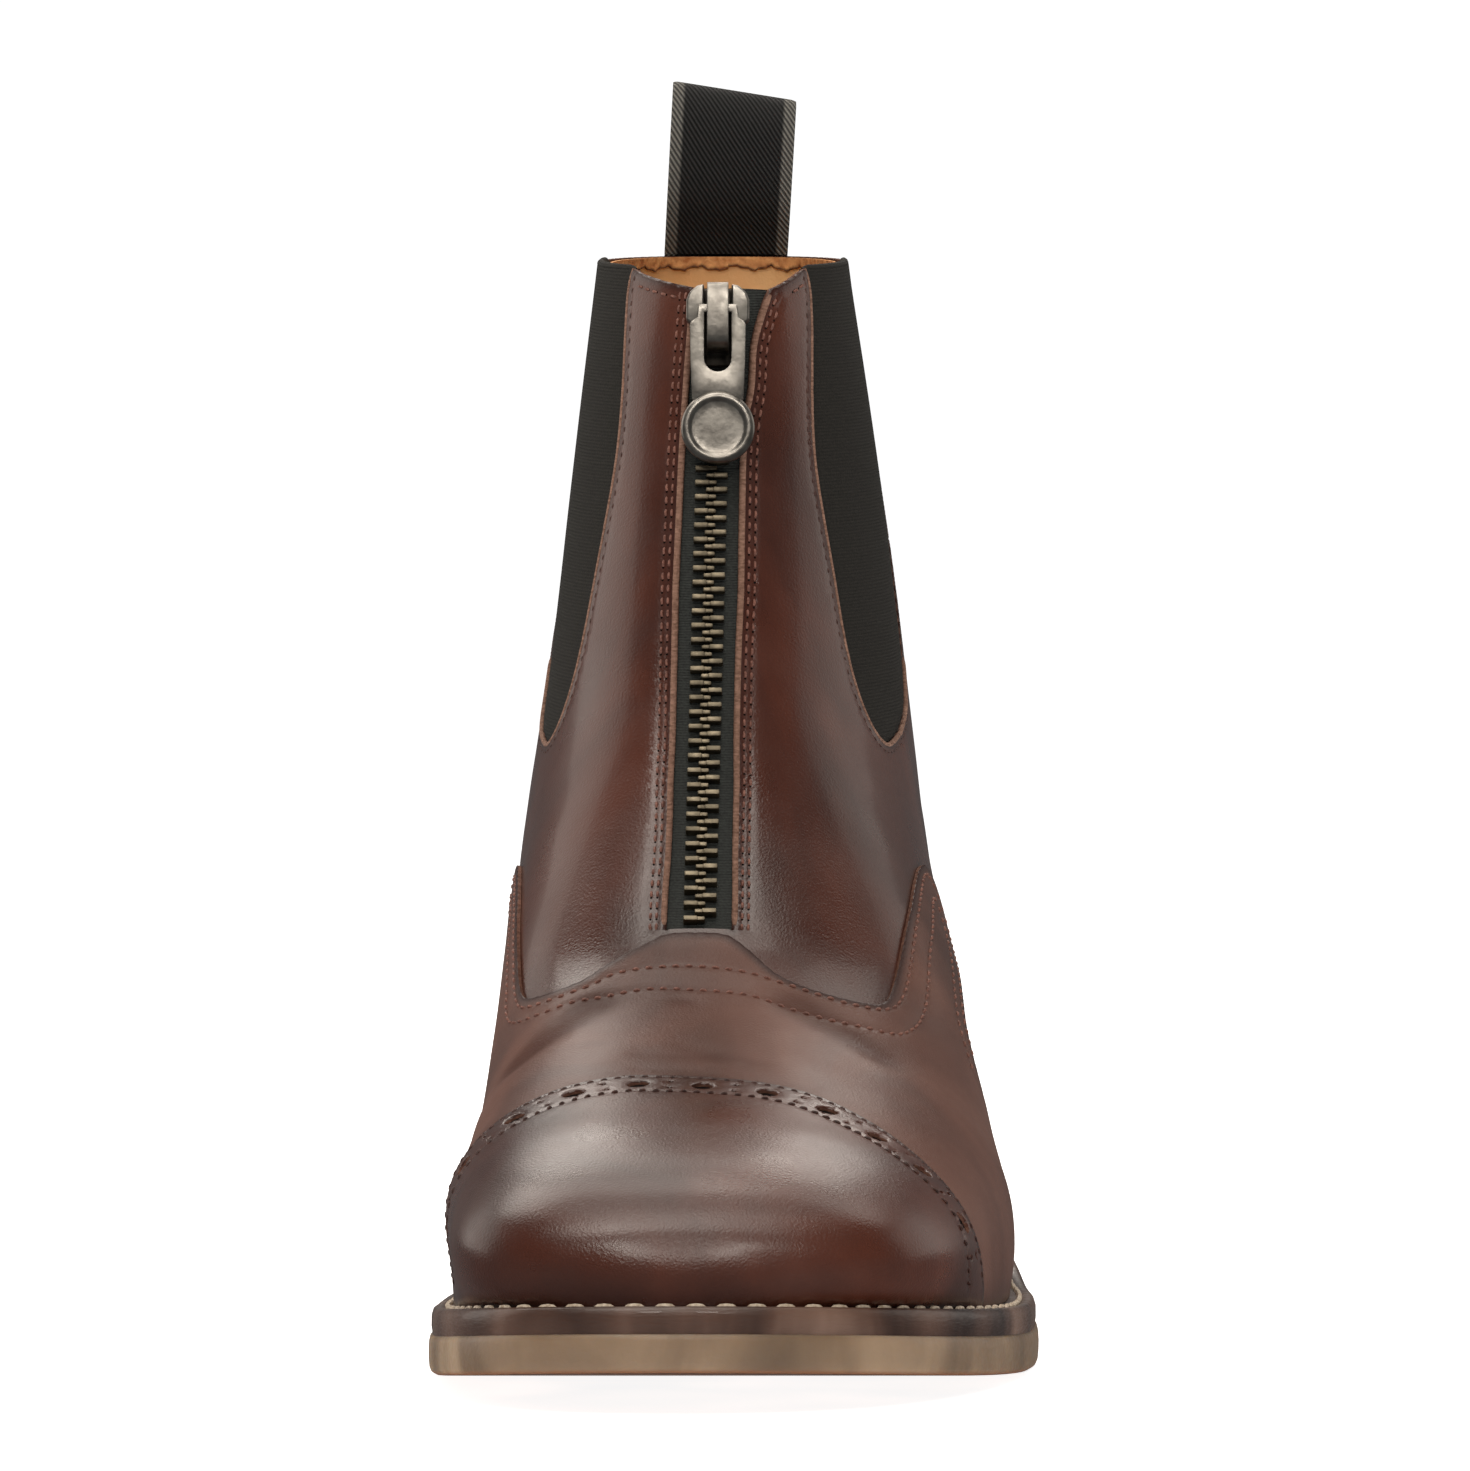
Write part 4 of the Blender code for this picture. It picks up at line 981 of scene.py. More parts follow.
def tint(red, green, blue):
    """Linear colour from display values of 0 to 255."""
    return tuple(((c / 255 + 0.055) / 1.055) ** 2.4 if c > 10 else c / 3294 for c in (red, green, blue))


def leather_material(name, dyes, shine, smoothest, roughest, coat, coat_rough, creasing):
    """Brown calf: mottled dye, fine grain, a thin finish, burnished edges, and folds painted darker as shade
    with duller gloss.
    """
    shader = Shader(name)
    mottle = shader.noise(30, 5, stretch=(1.2, 1, 0.6), distortion=0.7)
    dye = shader.ramp(mottle, *zip((0.28, 0.5, 0.75), dyes))
    burnt = shader.mix(shader.edge(2.2), dye, tint(44, 19, 13))
    # Painted shade: the depth of the folds darkens the colour towards tint(46, 20, 13) and dulls the gloss
    # there.
    fold_shade = shader.attribute("fold_shade", 0.03, 0.5)
    burnt = shader.mix(shader.ramp(fold_shade, (0.0, 0.0), (1.0, 0.5)), burnt, tint(46, 20, 13))
    grain = shader.bump(shader.noise(2400, 2), 0.45, 0.00014)
    pores = shader.bump(shader.cells(2000), 0.2, 0.0001, grain)
    wrinkles = shader.bump(shader.noise(260, 4, stretch=(1, 0.6, 1.6)), creasing, 0.0006, pores)
    gloss = shader.ramp(shader.edge(0.8), (0.0, shine), (1.0, 0.15))
    gloss = shader.mix(fold_shade, gloss, (0.12, 0.12, 0.12))
    rough = shader.span(shader.noise(70, 4), smoothest, roughest)
    return shader.finish(
        base_color=burnt, roughness=rough, normal=wrinkles, specular_ior_level=gloss,
        coat_weight=coat, coat_roughness=coat_rough,
    )


def raw_edge_material(name, dark, light):
    """Cut edge of the hide, tan and fibrous."""
    shader = Shader(name)
    fibre = shader.noise(900, 4, stretch=(1, 1, 3))
    colour, height = shader.tone(fibre, dark, light), shader.bump(fibre, 0.5, 0.0003)
    return shader.finish(base_color=colour, roughness=0.8, normal=height, specular_ior_level=0.2)


def lining_material():
    """Tan calf lining, a little worn."""
    shader = Shader("tan lining")
    colour = shader.tone(shader.noise(40, 5), tint(220, 164, 106), tint(244, 202, 146))
    grain = shader.bump(shader.noise(1500, 3), 0.35, 0.0002)
    return shader.finish(base_color=colour, roughness=0.62, normal=grain)


def facing_material():
    """Rougher orange-brown facing inside the collar, with a painted shadow line along its torn edge."""
    shader = Shader("collar facing")
    nap = shader.noise(700, 5)
    colour = shader.tone(nap, tint(176, 110, 62), tint(240, 182, 120))
    # Painted shadow: colour darkens to tint(70, 40, 24) within 0.7 mm of the torn edge, for the shade that
    # edge casts.
    torn = shader.mix(shader.edge(0.7), colour, tint(70, 40, 24))
    return shader.finish(base_color=torn, roughness=0.85, normal=shader.bump(nap, 0.6, 0.0005))


def elastic_material():
    """Fine ribbed charcoal elastic."""
    shader = Shader("elastic")
    ribs, fuzz = shader.layers(560, 0.15), shader.noise(3000, 2)
    colour = shader.tone(fuzz, tint(20, 19, 16), tint(40, 37, 32))
    colour = shader.mix(shader.span(ribs, 0.0, 0.35), colour, tint(12, 11, 10))
    height = shader.bump(ribs, 0.3, 0.0002, shader.bump(fuzz, 0.4, 0.0002))
    return shader.finish(base_color=colour, roughness=0.9, normal=height, specular_ior_level=0.25)


def tape_material():
    """Woven black zip tape."""
    shader = Shader("zip tape")
    weave, fuzz = shader.layers(700, 1.0), shader.noise(2600, 3)
    colour = shader.tone(fuzz, tint(22, 24, 23), tint(42, 46, 43))
    height = shader.bump(weave, 0.5, 0.0002, shader.bump(fuzz, 0.3, 0.0002))
    return shader.finish(base_color=colour, roughness=0.8, normal=height)


def metal_material(name, dark, light, smoothest, roughest):
    """Cast metal, tarnished in patches."""
    shader = Shader(name)
    colour = shader.ramp(shader.noise(420, 5), (0.32, dark), (0.62, light))
    rough = shader.span(shader.noise(900, 3), smoothest, roughest)
    dents = shader.bump(shader.noise(700, 3), 0.2, 0.0002)
    return shader.finish(base_color=colour, metallic=1.0, roughness=rough, normal=dents)


def thread_material(name, dark, light):
    """Twisted thread with darker and lighter strands."""
    shader = Shader(name)
    strand = shader.noise(1600, 2)
    colour, height = shader.tone(strand, dark, light), shader.bump(strand, 0.5, 0.0002)
    return shader.finish(base_color=colour, roughness=0.6, normal=height)


def hole_shade_material():
    """Painted shade: near-black colour that stands in for the shade inside holes."""
    shader = Shader("painted hole shade")
    colour = shader.tone(shader.noise(900), tint(8, 4, 3), tint(18, 9, 7))
    return shader.finish(base_color=colour, roughness=0.95, specular_ior_level=0.1)


def welt_material():
    """Brown welt edge with random patches from dark burnish to lighter brown; the lighter patches are
    painted sheen.
    """
    shader = Shader("welt")
    patches = shader.noise(30, 4, stretch=(1, 1, 0.3), distortion=0.8)
    # Random patches: dark brown is burnish, the lightest brown stands in for reflections as painted sheen.
    burnish_and_sheen_browns = (0.4, tint(38, 21, 15)), (0.54, tint(78, 54, 43)), (0.72, tint(120, 94, 80))
    scratch = shader.noise(500, 4, stretch=(1, 1, 6))
    return shader.finish(
        base_color=shader.ramp(patches, *burnish_and_sheen_browns), roughness=shader.span(scratch, 0.3, 0.5),
        normal=shader.bump(scratch, 0.3, 0.0003), coat_weight=0.15,
    )


def outsole_material():
    """Translucent amber rubber with lighter and darker smears."""
    shader = Shader("amber rubber")
    smear = shader.noise(26, 5, stretch=(1, 1, 0.4), distortion=1.2)
    ambers = (0.3, tint(90, 73, 58)), (0.52, tint(124, 103, 82)), (0.72, tint(154, 131, 106))
    colour = shader.mix(shader.edge(0.9), shader.ramp(smear, *ambers), tint(112, 70, 44))
    fine = shader.noise(900, 4)
    return shader.finish(
        base_color=colour, roughness=shader.span(fine, 0.34, 0.52), normal=shader.bump(fine, 0.25, 0.0003),
        subsurface_weight=0.35, subsurface_scale=0.004, subsurface_radius=(1.0, 0.55, 0.25),
    )


def heel_material():
    """Stacked leather heel with thin layers."""
    shader = Shader("stacked heel")
    layers = shader.layers(130, 0.6)
    mottle = shader.noise(60, 4, stretch=(1, 1, 5))
    colour = shader.tone(mottle, tint(46, 28, 20), tint(82, 54, 40))
    colour = shader.mix(shader.span(layers, 0.35, 0.0), colour, tint(34, 20, 14))
    height = shader.bump(layers, 0.25, 0.0002)
    return shader.finish(base_color=colour, roughness=0.42, normal=height, coat_weight=0.1)


def insole_material():
    """Tan sock on the insole, creased by a foot."""
    shader = Shader("insole sock")
    colour = shader.tone(shader.noise(30, 5), tint(168, 116, 70), tint(206, 152, 98))
    creases = shader.bump(shader.noise(120, 5, stretch=(0.5, 1.5, 1)), 0.3, 0.0008)
    return shader.finish(base_color=colour, roughness=0.68, normal=creases)


def webbing_material():
    """Black twill webbing with paler selvedges; its map runs across in x and along in y, in millimetres."""
    shader = Shader("twill webbing")
    cloth = shader.node("UVMap", "UV", uv_map="cloth")
    twill = shader.bands(0.44, cloth, (0, 0, math.radians(-38)), 0.4)
    dark = shader.ramp(twill, (0.25, tint(10, 10, 11)), (0.8, tint(46, 46, 46)))
    pale = shader.ramp(twill, (0.25, tint(58, 57, 55)), (0.8, tint(118, 116, 110)))
    selvedge = shader.ramp(shader.edge(3.6), (0.3, 0.0), (0.5, 1.0))
    colour = shader.mix(selvedge, dark, pale)
    height = shader.bump(twill, 0.8, 0.0003, shader.bump(shader.noise(2500, 3), 0.4, 0.0002))
    return shader.finish(base_color=colour, roughness=0.85, normal=height, specular_ior_level=0.3)


def floor_material():
    """Pale seamless paper that glows a little more away from the boot."""
    shader = Shader("pale floor")
    tone = shader.tone(shader.noise(3, 2), tint(248, 248, 248), tint(252, 252, 252))
    away = shader.node("VectorMath", "Value", {0: shader.place}, operation="LENGTH")
    glow = shader.share(away, 0.1, 0.9, 0.92)
    return shader.finish(base_color=tone, roughness=0.9, emission_color=tone, emission_strength=glow)


def gore_line(outer):
    """Places round a gore's cut-out, from the collar's front down and up to the collar's rear."""
    low, high = (0.5, 1.0) if outer else (0.0, 0.5)
    line = place_at(rounded(GORE_EDGE), SIDE_VIEW, low, high)
    return np.vstack([(COLLAR_ROW, line[0, 1]), line, (COLLAR_ROW, line[-1, 1])])


def slot_sides():
    """Left and right side of the zip's slot, from its foot up to the collar."""
    left, right = (place_at(side, FRONT_VIEW, *ZIP_SPAN) for side in (SLOT_LEFT, SLOT_RIGHT))
    left = np.vstack([left, (DIP_ROW, left[-1, 1])])
    right = rounded(np.vstack([right[right[:, 0] < DIP_ROW], (DIP_ROW, right[-1, 1])]))
    return left, right


def legs(*corners):
    """Straight sides from corner to corner."""
    return list(zip(corners, corners[1:]))


def within(line, column, low, high):
    """The places of a line whose u or v lies between two values."""
    return line[(line[:, column] > low) & (line[:, column] < high)]


def ring_of(place, radius, count):
    """Closed ring of places round one place."""
    by_u, by_v = (slope[0] for slope in slopes(*np.array(place)[:, None]))
    turns = full_turn(count)
    du = radius / np.linalg.norm(by_u) * np.cos(turns)
    dv = radius / np.linalg.norm(by_v) * np.sin(turns)
    return np.array(place) + np.stack([du, dv], 1)


def build_quarters(leather, cut):
    """Quarters with grooves for their seams; gives the rows of stitches, those of the gores first."""
    inner, outer = gore_line(False), gore_line(True)
    left, right = slot_sides()
    top = COLLAR_ROW
    drop, turn = CORNER_DROP
    collar = (
        [(top, 1.0), (top, outer[-1, 1])],
        [(top, outer[0, 1]), (top - drop, outer[0, 1] - turn), right[-1]],
        [left[-1], (top - drop, inner[0, 1] + turn), (top, inner[0, 1])],
        [(top, inner[-1, 1]), (top, 0.0)],
    )
    zip_round = (right[::-1], [right[0], left[0]], left)
    loop = joined_sides(
        *legs((QUARTER_FRONT, 0.0), (QUARTER_FRONT, 1.0), (HEEL_ROW, 1.0), (top, 1.0)),
        collar[0], outer[::-1], collar[1], *zip_round, collar[2], inner, collar[3],
        *legs((top, 0.0), (HEEL_ROW, 0.0), (QUARTER_FRONT, 0.0)),
    )
    backs = [[(HEEL_ROW, v), (top, v)] for v in (0.0, 1.0)]
    rows = [
        beside(inner, GORE_ROW),
        beside(outer, -GORE_ROW),
        *(beside(left, gap) for gap in ZIP_ROWS),
        *(beside(right, -gap) for gap in ZIP_ROWS),
        *(beside(line, COLLAR_DROP)[ROW_TRIM:-ROW_TRIM] for line in collar),
        beside(backs[0], -BACK_ROW),
        beside(backs[1], BACK_ROW),
    ]
    rows = [within(row, 0, LOWEST_ROW, HIGHEST_ROW) for row in rows]
    edges = [inner, outer, left, right, *collar, *backs]
    piece = panel("quarters", [loop], QUARTER_SHEET, [leather, cut], "leather", edges, rows)
    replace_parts(piece, "upper")
    return rows


def build_vamp(leather, cut):
    """Vamp with its wings; gives its rows of stitches."""
    edge = rounded(VAMP_EDGE)
    front = legs((VAMP_FRONT, 0.0), (VAMP_FRONT, 1.0), edge[-1])
    loop = joined_sides(*front, edge[::-1], [edge[0], (VAMP_FRONT, 0.0)])
    rows = [along(rounded(row), 1) for row in VAMP_ROWS]
    piece = panel("vamp", [loop], VAMP_SHEET, [leather, cut], "leather", [edge], rows)
    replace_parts(piece, "vamp")
    return rows


def build_cap(leather, cut):
    """Toe cap with its punched holes; gives its rows of stitches, its holes and its pinholes."""
    edge = rounded(CAP_EDGE)
    toe = legs((0.0, 0.0), (0.0, 0.5), (0.0, 1.0), edge[-1])
    loop = joined_sides(*toe, edge[::-1], [edge[0], (0.0, 0.0)], step=CAP_STEP)
    rows = [within(beside(edge, -gap), 1, *CAP_ROW_SPAN) for gap in CAP_ROWS]
    middle = within(along(beside(edge, -BROGUE_LINE), BROGUE_PITCH / 2), 1, *BROGUE_SPAN)
    holes = middle[::2]
    pins = np.concatenate([shifted(middle[1::2], gap) for gap in (-PIN_GAP, PIN_GAP)])
    punched = [ring_of(place, BROGUE_RADIUS, HOLE_SIDES) for place in holes]
    punched += [ring_of(place, PIN_RADIUS, PIN_SIDES) for place in pins]
    rims = [edge, *(round_trip(ring) for ring in punched)]
    piece = panel(
        "toe_cap_leather", [loop, *punched], CAP_SHEET, [leather, cut], "leather", rims, rows, burnt=[edge]
    )
    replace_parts(piece, "toe_cap")
    return rows, holes, pins


def build_stitching(rows, vamp_rows, cap_rows, holes, pins):
    """Dark sunk thread round the gores and on the cap, brown rows with needle holes, and punched holes; the
    holes' insides are dark pegs and discs that paint the shade in them.
    """
    brown = thread_material("brown thread", tint(84, 49, 39), tint(128, 84, 70))
    dim = thread_material("dark thread", tint(40, 20, 15), tint(74, 43, 34))
    # dark is the painted shade put inside the needle holes and under the punched holes.
    dark = hole_shade_material()
    lines = [(row, -TROUGH_DEPTH, SEAM_THREAD, 0.0) for row in rows[2:] if len(row) > ROW_TRIM]
    lines += [(row, VAMP_HEIGHT - TROUGH_DEPTH, VAMP_THREAD, 0.0) for row in vamp_rows]
    sunk = [(row, -GORE_THREAD_SUNK, GORE_THREAD, 0.0) for row in rows[:2]]
    sunk.append((cap_rows[0], CAP_HEIGHT - CAP_THREAD_SUNK, SEAM_THREAD, 0.0))
    sunk.append((cap_rows[1], CAP_HEIGHT - TROUGH_DEPTH, CAP_THREAD, CAP_SLANT))
    stitches("leather_stitches", lines, brown, "leather")
    stitches("dark_stitches", sunk, dim, "leather")
    # Needle holes: dark pegs whose colour paints the shade inside them.
    needle = [along(line, STITCH_PITCH)[1:-1] for line, *_ in lines]
    height = np.repeat([line[1] for line in lines], [len(places) for places in needle])
    depths = height - NEEDLE_DEPTH, height + NEEDLE_RIM
    pegs("needle_holes", np.concatenate(needle), NEEDLE_RADIUS, *depths, dark, "leather")
    # Dark discs under the punched holes and pinholes paint the shade inside them.
    depths = HOLE_SHADE_FOOT, HOLE_SHADE_HEAD
    under = np.concatenate([holes, pins])
    pegs("punched_hole_shade", under, HOLE_SHADE_RADIUS, *depths, dark, "leather", HOLE_SHADE_SIDES)


def build_edges(pale):
    """Turned edges of the leather beside the zip and round the front of the gores, pale partly for the tan
    cut edge and partly as a painted highlight along their roll.
    """
    left, right = slot_sides()
    gap, radius = ZIP_TURN
    lines = [("slot_edge_inner", left, gap, radius), ("slot_edge_outer", right, -gap, radius)]
    gap, radius = GORE_TURN
    for name, outer, side in (("gore_edge_inner", False, gap), ("gore_edge_outer", True, -gap)):
        line = gore_line(outer)
        height = surface(*line.T)[:, 2]
        seen = (np.arange(len(line)) <= height.argmin()) | (height < GORE_RIM_TOP)
        lines.append((name, line[seen], side, radius))
    # The pale material here paints the highlight along each rolled edge.
    for name, line, side, radius in lines:
        roll(name, shifted(along(line, TURN_STEP), side), TURN_HEIGHT - radius, radius, pale, "leather")


def build_lining(lining, facing):
    """Tan lining inside the upper and the rougher facing with a torn edge round its collar."""
    left, right = slot_sides()
    left, right = beside(left, LINING_ROOM), beside(right, -LINING_ROOM)
    top, shoulder, dip = LINING_TOP, LINING_SHOULDER, LINING_DIP
    left[-1, 0] = right[-1, 0] = dip
    loop = joined_sides(
        *legs((LINING_FRONT, 0.0), (LINING_FRONT, 1.0), (HEEL_ROW, 1.0), (top, 1.0)),
        [(top, 1.0), (top, 0.8), (shoulder, 0.62), (dip, right[-1, 1])],
        right[::-1],
        [right[0], left[0]],
        left,
        [(dip, left[-1, 1]), (shoulder, 0.37), (top, 0.2), (top, 0.0)],
        *legs((top, 0.0), (HEEL_ROW, 0.0), (LINING_FRONT, 0.0)),
        step=LINING_STEP,
    )
    panel("lining", [loop], LINING_SHEET, [lining], "insole", spacing=LINING_SPACING)
    (wide, slow), (fine, quick) = TEAR
    for name, start, end in FACING_SPANS:
        rim = along([(COLLAR_ROW, start), (COLLAR_ROW, end)], 1)
        travel = np.arange(len(rim))
        torn = FACING + wide * np.sin(slow * travel) + fine * np.sin(quick * travel)
        low = shifted(rim, -torn[:, None])
        band = joined_sides(low, [low[-1], rim[-1]], rim[::-1], [rim[0], low[0]])
        # The torn edge's distance is what the facing's painted shadow line follows.
        panel(name, [band], FACING_SHEET, [facing], "insole", [low], spacing=FINE_SPACING)


def build_gores(elastic):
    """Elastic panels in the side cut-outs, with a rolled binding along their tops."""
    for name, outer in (("gore_inner", False), ("gore_outer", True)):
        line = gore_line(outer)
        rim = beside(line, GORE_GAP if outer else -GORE_GAP)
        rim = np.vstack([(COLLAR_ROW, rim[0, 1]), rim[1:-1], (COLLAR_ROW, rim[-1, 1])])
        loop = joined_sides(rim, [rim[-1], rim[0]], step=1)
        loop = loop if outer else loop[::-1]
        edges = [round_trip(rim)]
        gore = panel(f"{name}_elastic", [loop], GORE_SHEET, [elastic], "elastic", edges)
        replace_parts(gore, name)
        top = along([(COLLAR_ROW, line[0, 1]), (COLLAR_ROW, line[-1, 1])], BINDING_STEP)
        roll(f"{name}_binding", top[:-1], -BINDING_SUNK, BINDING_RADIUS, elastic, "elastic")


def roll(name, line, height, radius, material, slot):
    """Rolled edge along a line of places."""
    middle, out = lifted(*line.T, height)[None], normals(*line.T)[None]
    side = unit(np.cross(out, np.gradient(middle, axis=1)))
    radii = np.full(len(line), radius)
    radii[[0, -1]] *= ROLL_ENDS[0]
    radii[[1, -2]] *= ROLL_ENDS[1]
    piece = new_piece(name, *tubes(middle, ROLL_SIDES, radii, side, out), [material], slot)
    welded(piece, turn=True)


def front_row(z):
    """Place among the sections where the front line has height z."""
    rows = np.linspace(0, COLLAR_ROW, FRONT_SAMPLES)
    return float(np.interp(z, smooth(NUMBERED, rows, 4), rows))


def front_frame(z, x):
    """Point on the front line, with the directions along x, up the boot and outward."""
    row = front_row(z)
    point = surface(row, 0.5)
    out = normals(row, 0.5)
    out[0] = 0
    out = unit(out)
    up = np.array([0.0, -out[2], out[1]])
    up *= math.copysign(1, up[2])
    return np.array([x, point[1], point[2]]), np.array([1.0, 0, 0]), up, out


def slab(outline, holes, place, low, high):
    """Points and faces of a plate with holes; place turns two plane sizes and a height into a point."""
    loops = [np.asarray(loop, float) for loop in (outline, *holes)]
    flat = np.concatenate(loops)
    _, faces, _ = triangles(flat, loops)
    faces = faces[inside(flat[faces].mean(1), loops)]
    points = [place(a, b, height) for height in (low, high) for a, b in flat]
    count = len(flat)
    walls = [(a, b, b + count, a + count) for a, b in loop_edges(loops)]
    return np.array(points), [*faces, *(faces + count), *walls]


def softened(piece, width, segments=3):
    """Turns the faces outward and rounds the sharp edges."""
    work = bmesh.new()
    work.from_mesh(piece.data)
    bmesh.ops.recalc_face_normals(work, faces=work.faces)
    sharp = [edge for edge in work.edges if edge.is_manifold and edge.calc_face_angle() > BEVEL_FROM]
    bmesh.ops.bevel(
        work, geom=sharp, offset=width / 1000, offset_type="OFFSET", segments=segments, profile=0.5,
        affect="EDGES", clamp_overlap=True,
    )
    work.to_mesh(piece.data)
    work.free()
    piece.data.shade_smooth()
    piece.data.set_sharp_from_angle(angle=math.radians(BEVEL_SHARP))
    return piece


def in_frame(frame):
    """Place function over a front frame: right, up and outward sizes."""
    point, right, up, out = frame
    return lambda a, b, height: point + right * a + up * b + out * height


def build_tape(tape):
    """Woven tape behind the zip's slot."""
    left, right = slot_sides()
    left, right = beside(left, TAPE_REACH), beside(right, -TAPE_REACH)
    left[-1, 0] = right[-1, 0] = DIP_ROW
    loop = joined_sides(right, [right[-1], left[-1]], left[::-1], [left[0], right[0]])
    piece = panel("zip_tape_cloth", [loop], TAPE_SHEET, [tape], "tape", spacing=FINE_SPACING)
    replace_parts(piece, "zip_tape")


def tooth(frame, side):
    """One tooth: a bar that clamps the tape and a lower head that reaches past the middle."""
    place = in_frame(frame)
    shapes = []
    for outline, low, high in (TOOTH_BAR, TOOTH_HEAD):
        shapes.append(slab([(a * side, b) for a, b in outline], (), place, low, high))
    return merged(*shapes)


def build_teeth(brass):
    """Teeth of the closed zip, by turns from its left and right side."""
    foot, head = np.array(CHAIN_FOOT), np.array(CHAIN_HEAD)
    count = 2 * round((head[1] - foot[1]) / TOOTH_PITCH)
    shapes = []
    for n in range(count):
        share = (n + 0.5) / count
        x, z = foot * (1 - share) + head * share
        shapes.append(tooth(front_frame(z, x), 1 if n % 2 else -1))
    piece = new_piece("zip_teeth", *merged(*shapes), [brass], "teeth")
    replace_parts(softened(piece, TOOTH_BEVEL, 2), "zip_chain")


def build_slider(pewter, core_shade_metal):
    """Slider with its core coloured dark as painted shade, two-lobed crown and arched bridge."""
    x, z = SLIDER_AT
    point, right, up, out = frame = front_frame(z, x)
    place = in_frame(frame)
    # Painted shade: the core's near-black metal stands in for the shade in the deep window under the bridge.
    core = new_piece("slider_core", *slab(SLIDER_CORE, (), place, *CORE_DEPTH), [core_shade_metal], "pewter")
    softened(core, CORE_BEVEL)
    mirrored = [(-a, b) for a, b in CROWN_LOBE[::-1]]
    lobes = merged(*(slab(lobe, (), place, *CROWN_DEPTH) for lobe in (CROWN_LOBE, mirrored)))
    crown = new_piece("slider_crown", *lobes, [pewter], "pewter")
    softened(crown, CROWN_BEVEL, 4)
    arch = rounded(BRIDGE_ARCH, closed=True)
    strap = slab(
        arch, (), lambda a, b, across: point + right * across + up * a + out * b, -BRIDGE_HALF, BRIDGE_HALF
    )
    bridge = new_piece("slider_bridge", *strap, [pewter], "pewter")
    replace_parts(softened(bridge, BRIDGE_BEVEL), "zip_slider")


def arc(x, y, radius, start, end, count):
    """Points of an arc, angles in degrees."""
    turns = np.radians(np.linspace(start, end, count))
    return [(x + radius * math.cos(a), y + radius * math.sin(a)) for a in turns]


def build_pull(pewter):
    """Pull tab with a window, and the round disc at its end."""
    x, z = SLIDER_AT
    point, right, up, out = front_frame(z, x)
    place = in_frame((point + out * PULL_AXIS, right, up, out))
    outline = [
        (-3.2, 0.6),
        (3.2, 0.6),
        (3.4, -1.6),
        *arc(PULL_HALF - PULL_CORNER, -3.0, PULL_CORNER, 70, 0, 4),
        (PULL_HALF - 0.1, -9.0),
        (PULL_HALF - 0.4, -TAB_LENGTH - 0.6),
        (3.0, -TAB_LENGTH - 2.0),
        (-3.0, -TAB_LENGTH - 2.0),
        (-PULL_HALF + 0.4, -TAB_LENGTH - 0.6),
        (-PULL_HALF + 0.1, -9.0),
        *arc(-PULL_HALF + PULL_CORNER, -3.0, PULL_CORNER, 180, 110, 4),
        (-3.4, -1.6),
    ]
    window = [
        (-WINDOW_HALF, -0.7),
        *arc(0, -WINDOW_LENGTH + WINDOW_HALF, WINDOW_HALF, 180, 360, 13),
        (WINDOW_HALF, -0.7),
    ]
    shape = slab(outline, [window], place, -TAB_HALF, TAB_HALF)
    tab = new_piece("pull_frame", *shape, [pewter], "pewter", body="pull_tab")
    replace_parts(softened(tab, TAB_BEVEL), "zip_pull")
    profile = np.array(DISC_PROFILE)
    profile = np.vstack([profile, profile[::-1] * (1, -1)])
    turns = full_turn(DISC_SIDES)
    rings = [place(r * math.cos(a), r * math.sin(a) - DISC_DROP, h) for r, h in profile for a in turns]
    faces = bridged(len(profile), DISC_SIDES)
    faces += [tuple(range(DISC_SIDES)), tuple(range(len(rings) - DISC_SIDES, len(rings)))]
    disc = new_piece("pull_disc", rings, faces, [pewter], "pewter", body="pull_tab")
    welded(disc, turn=True)


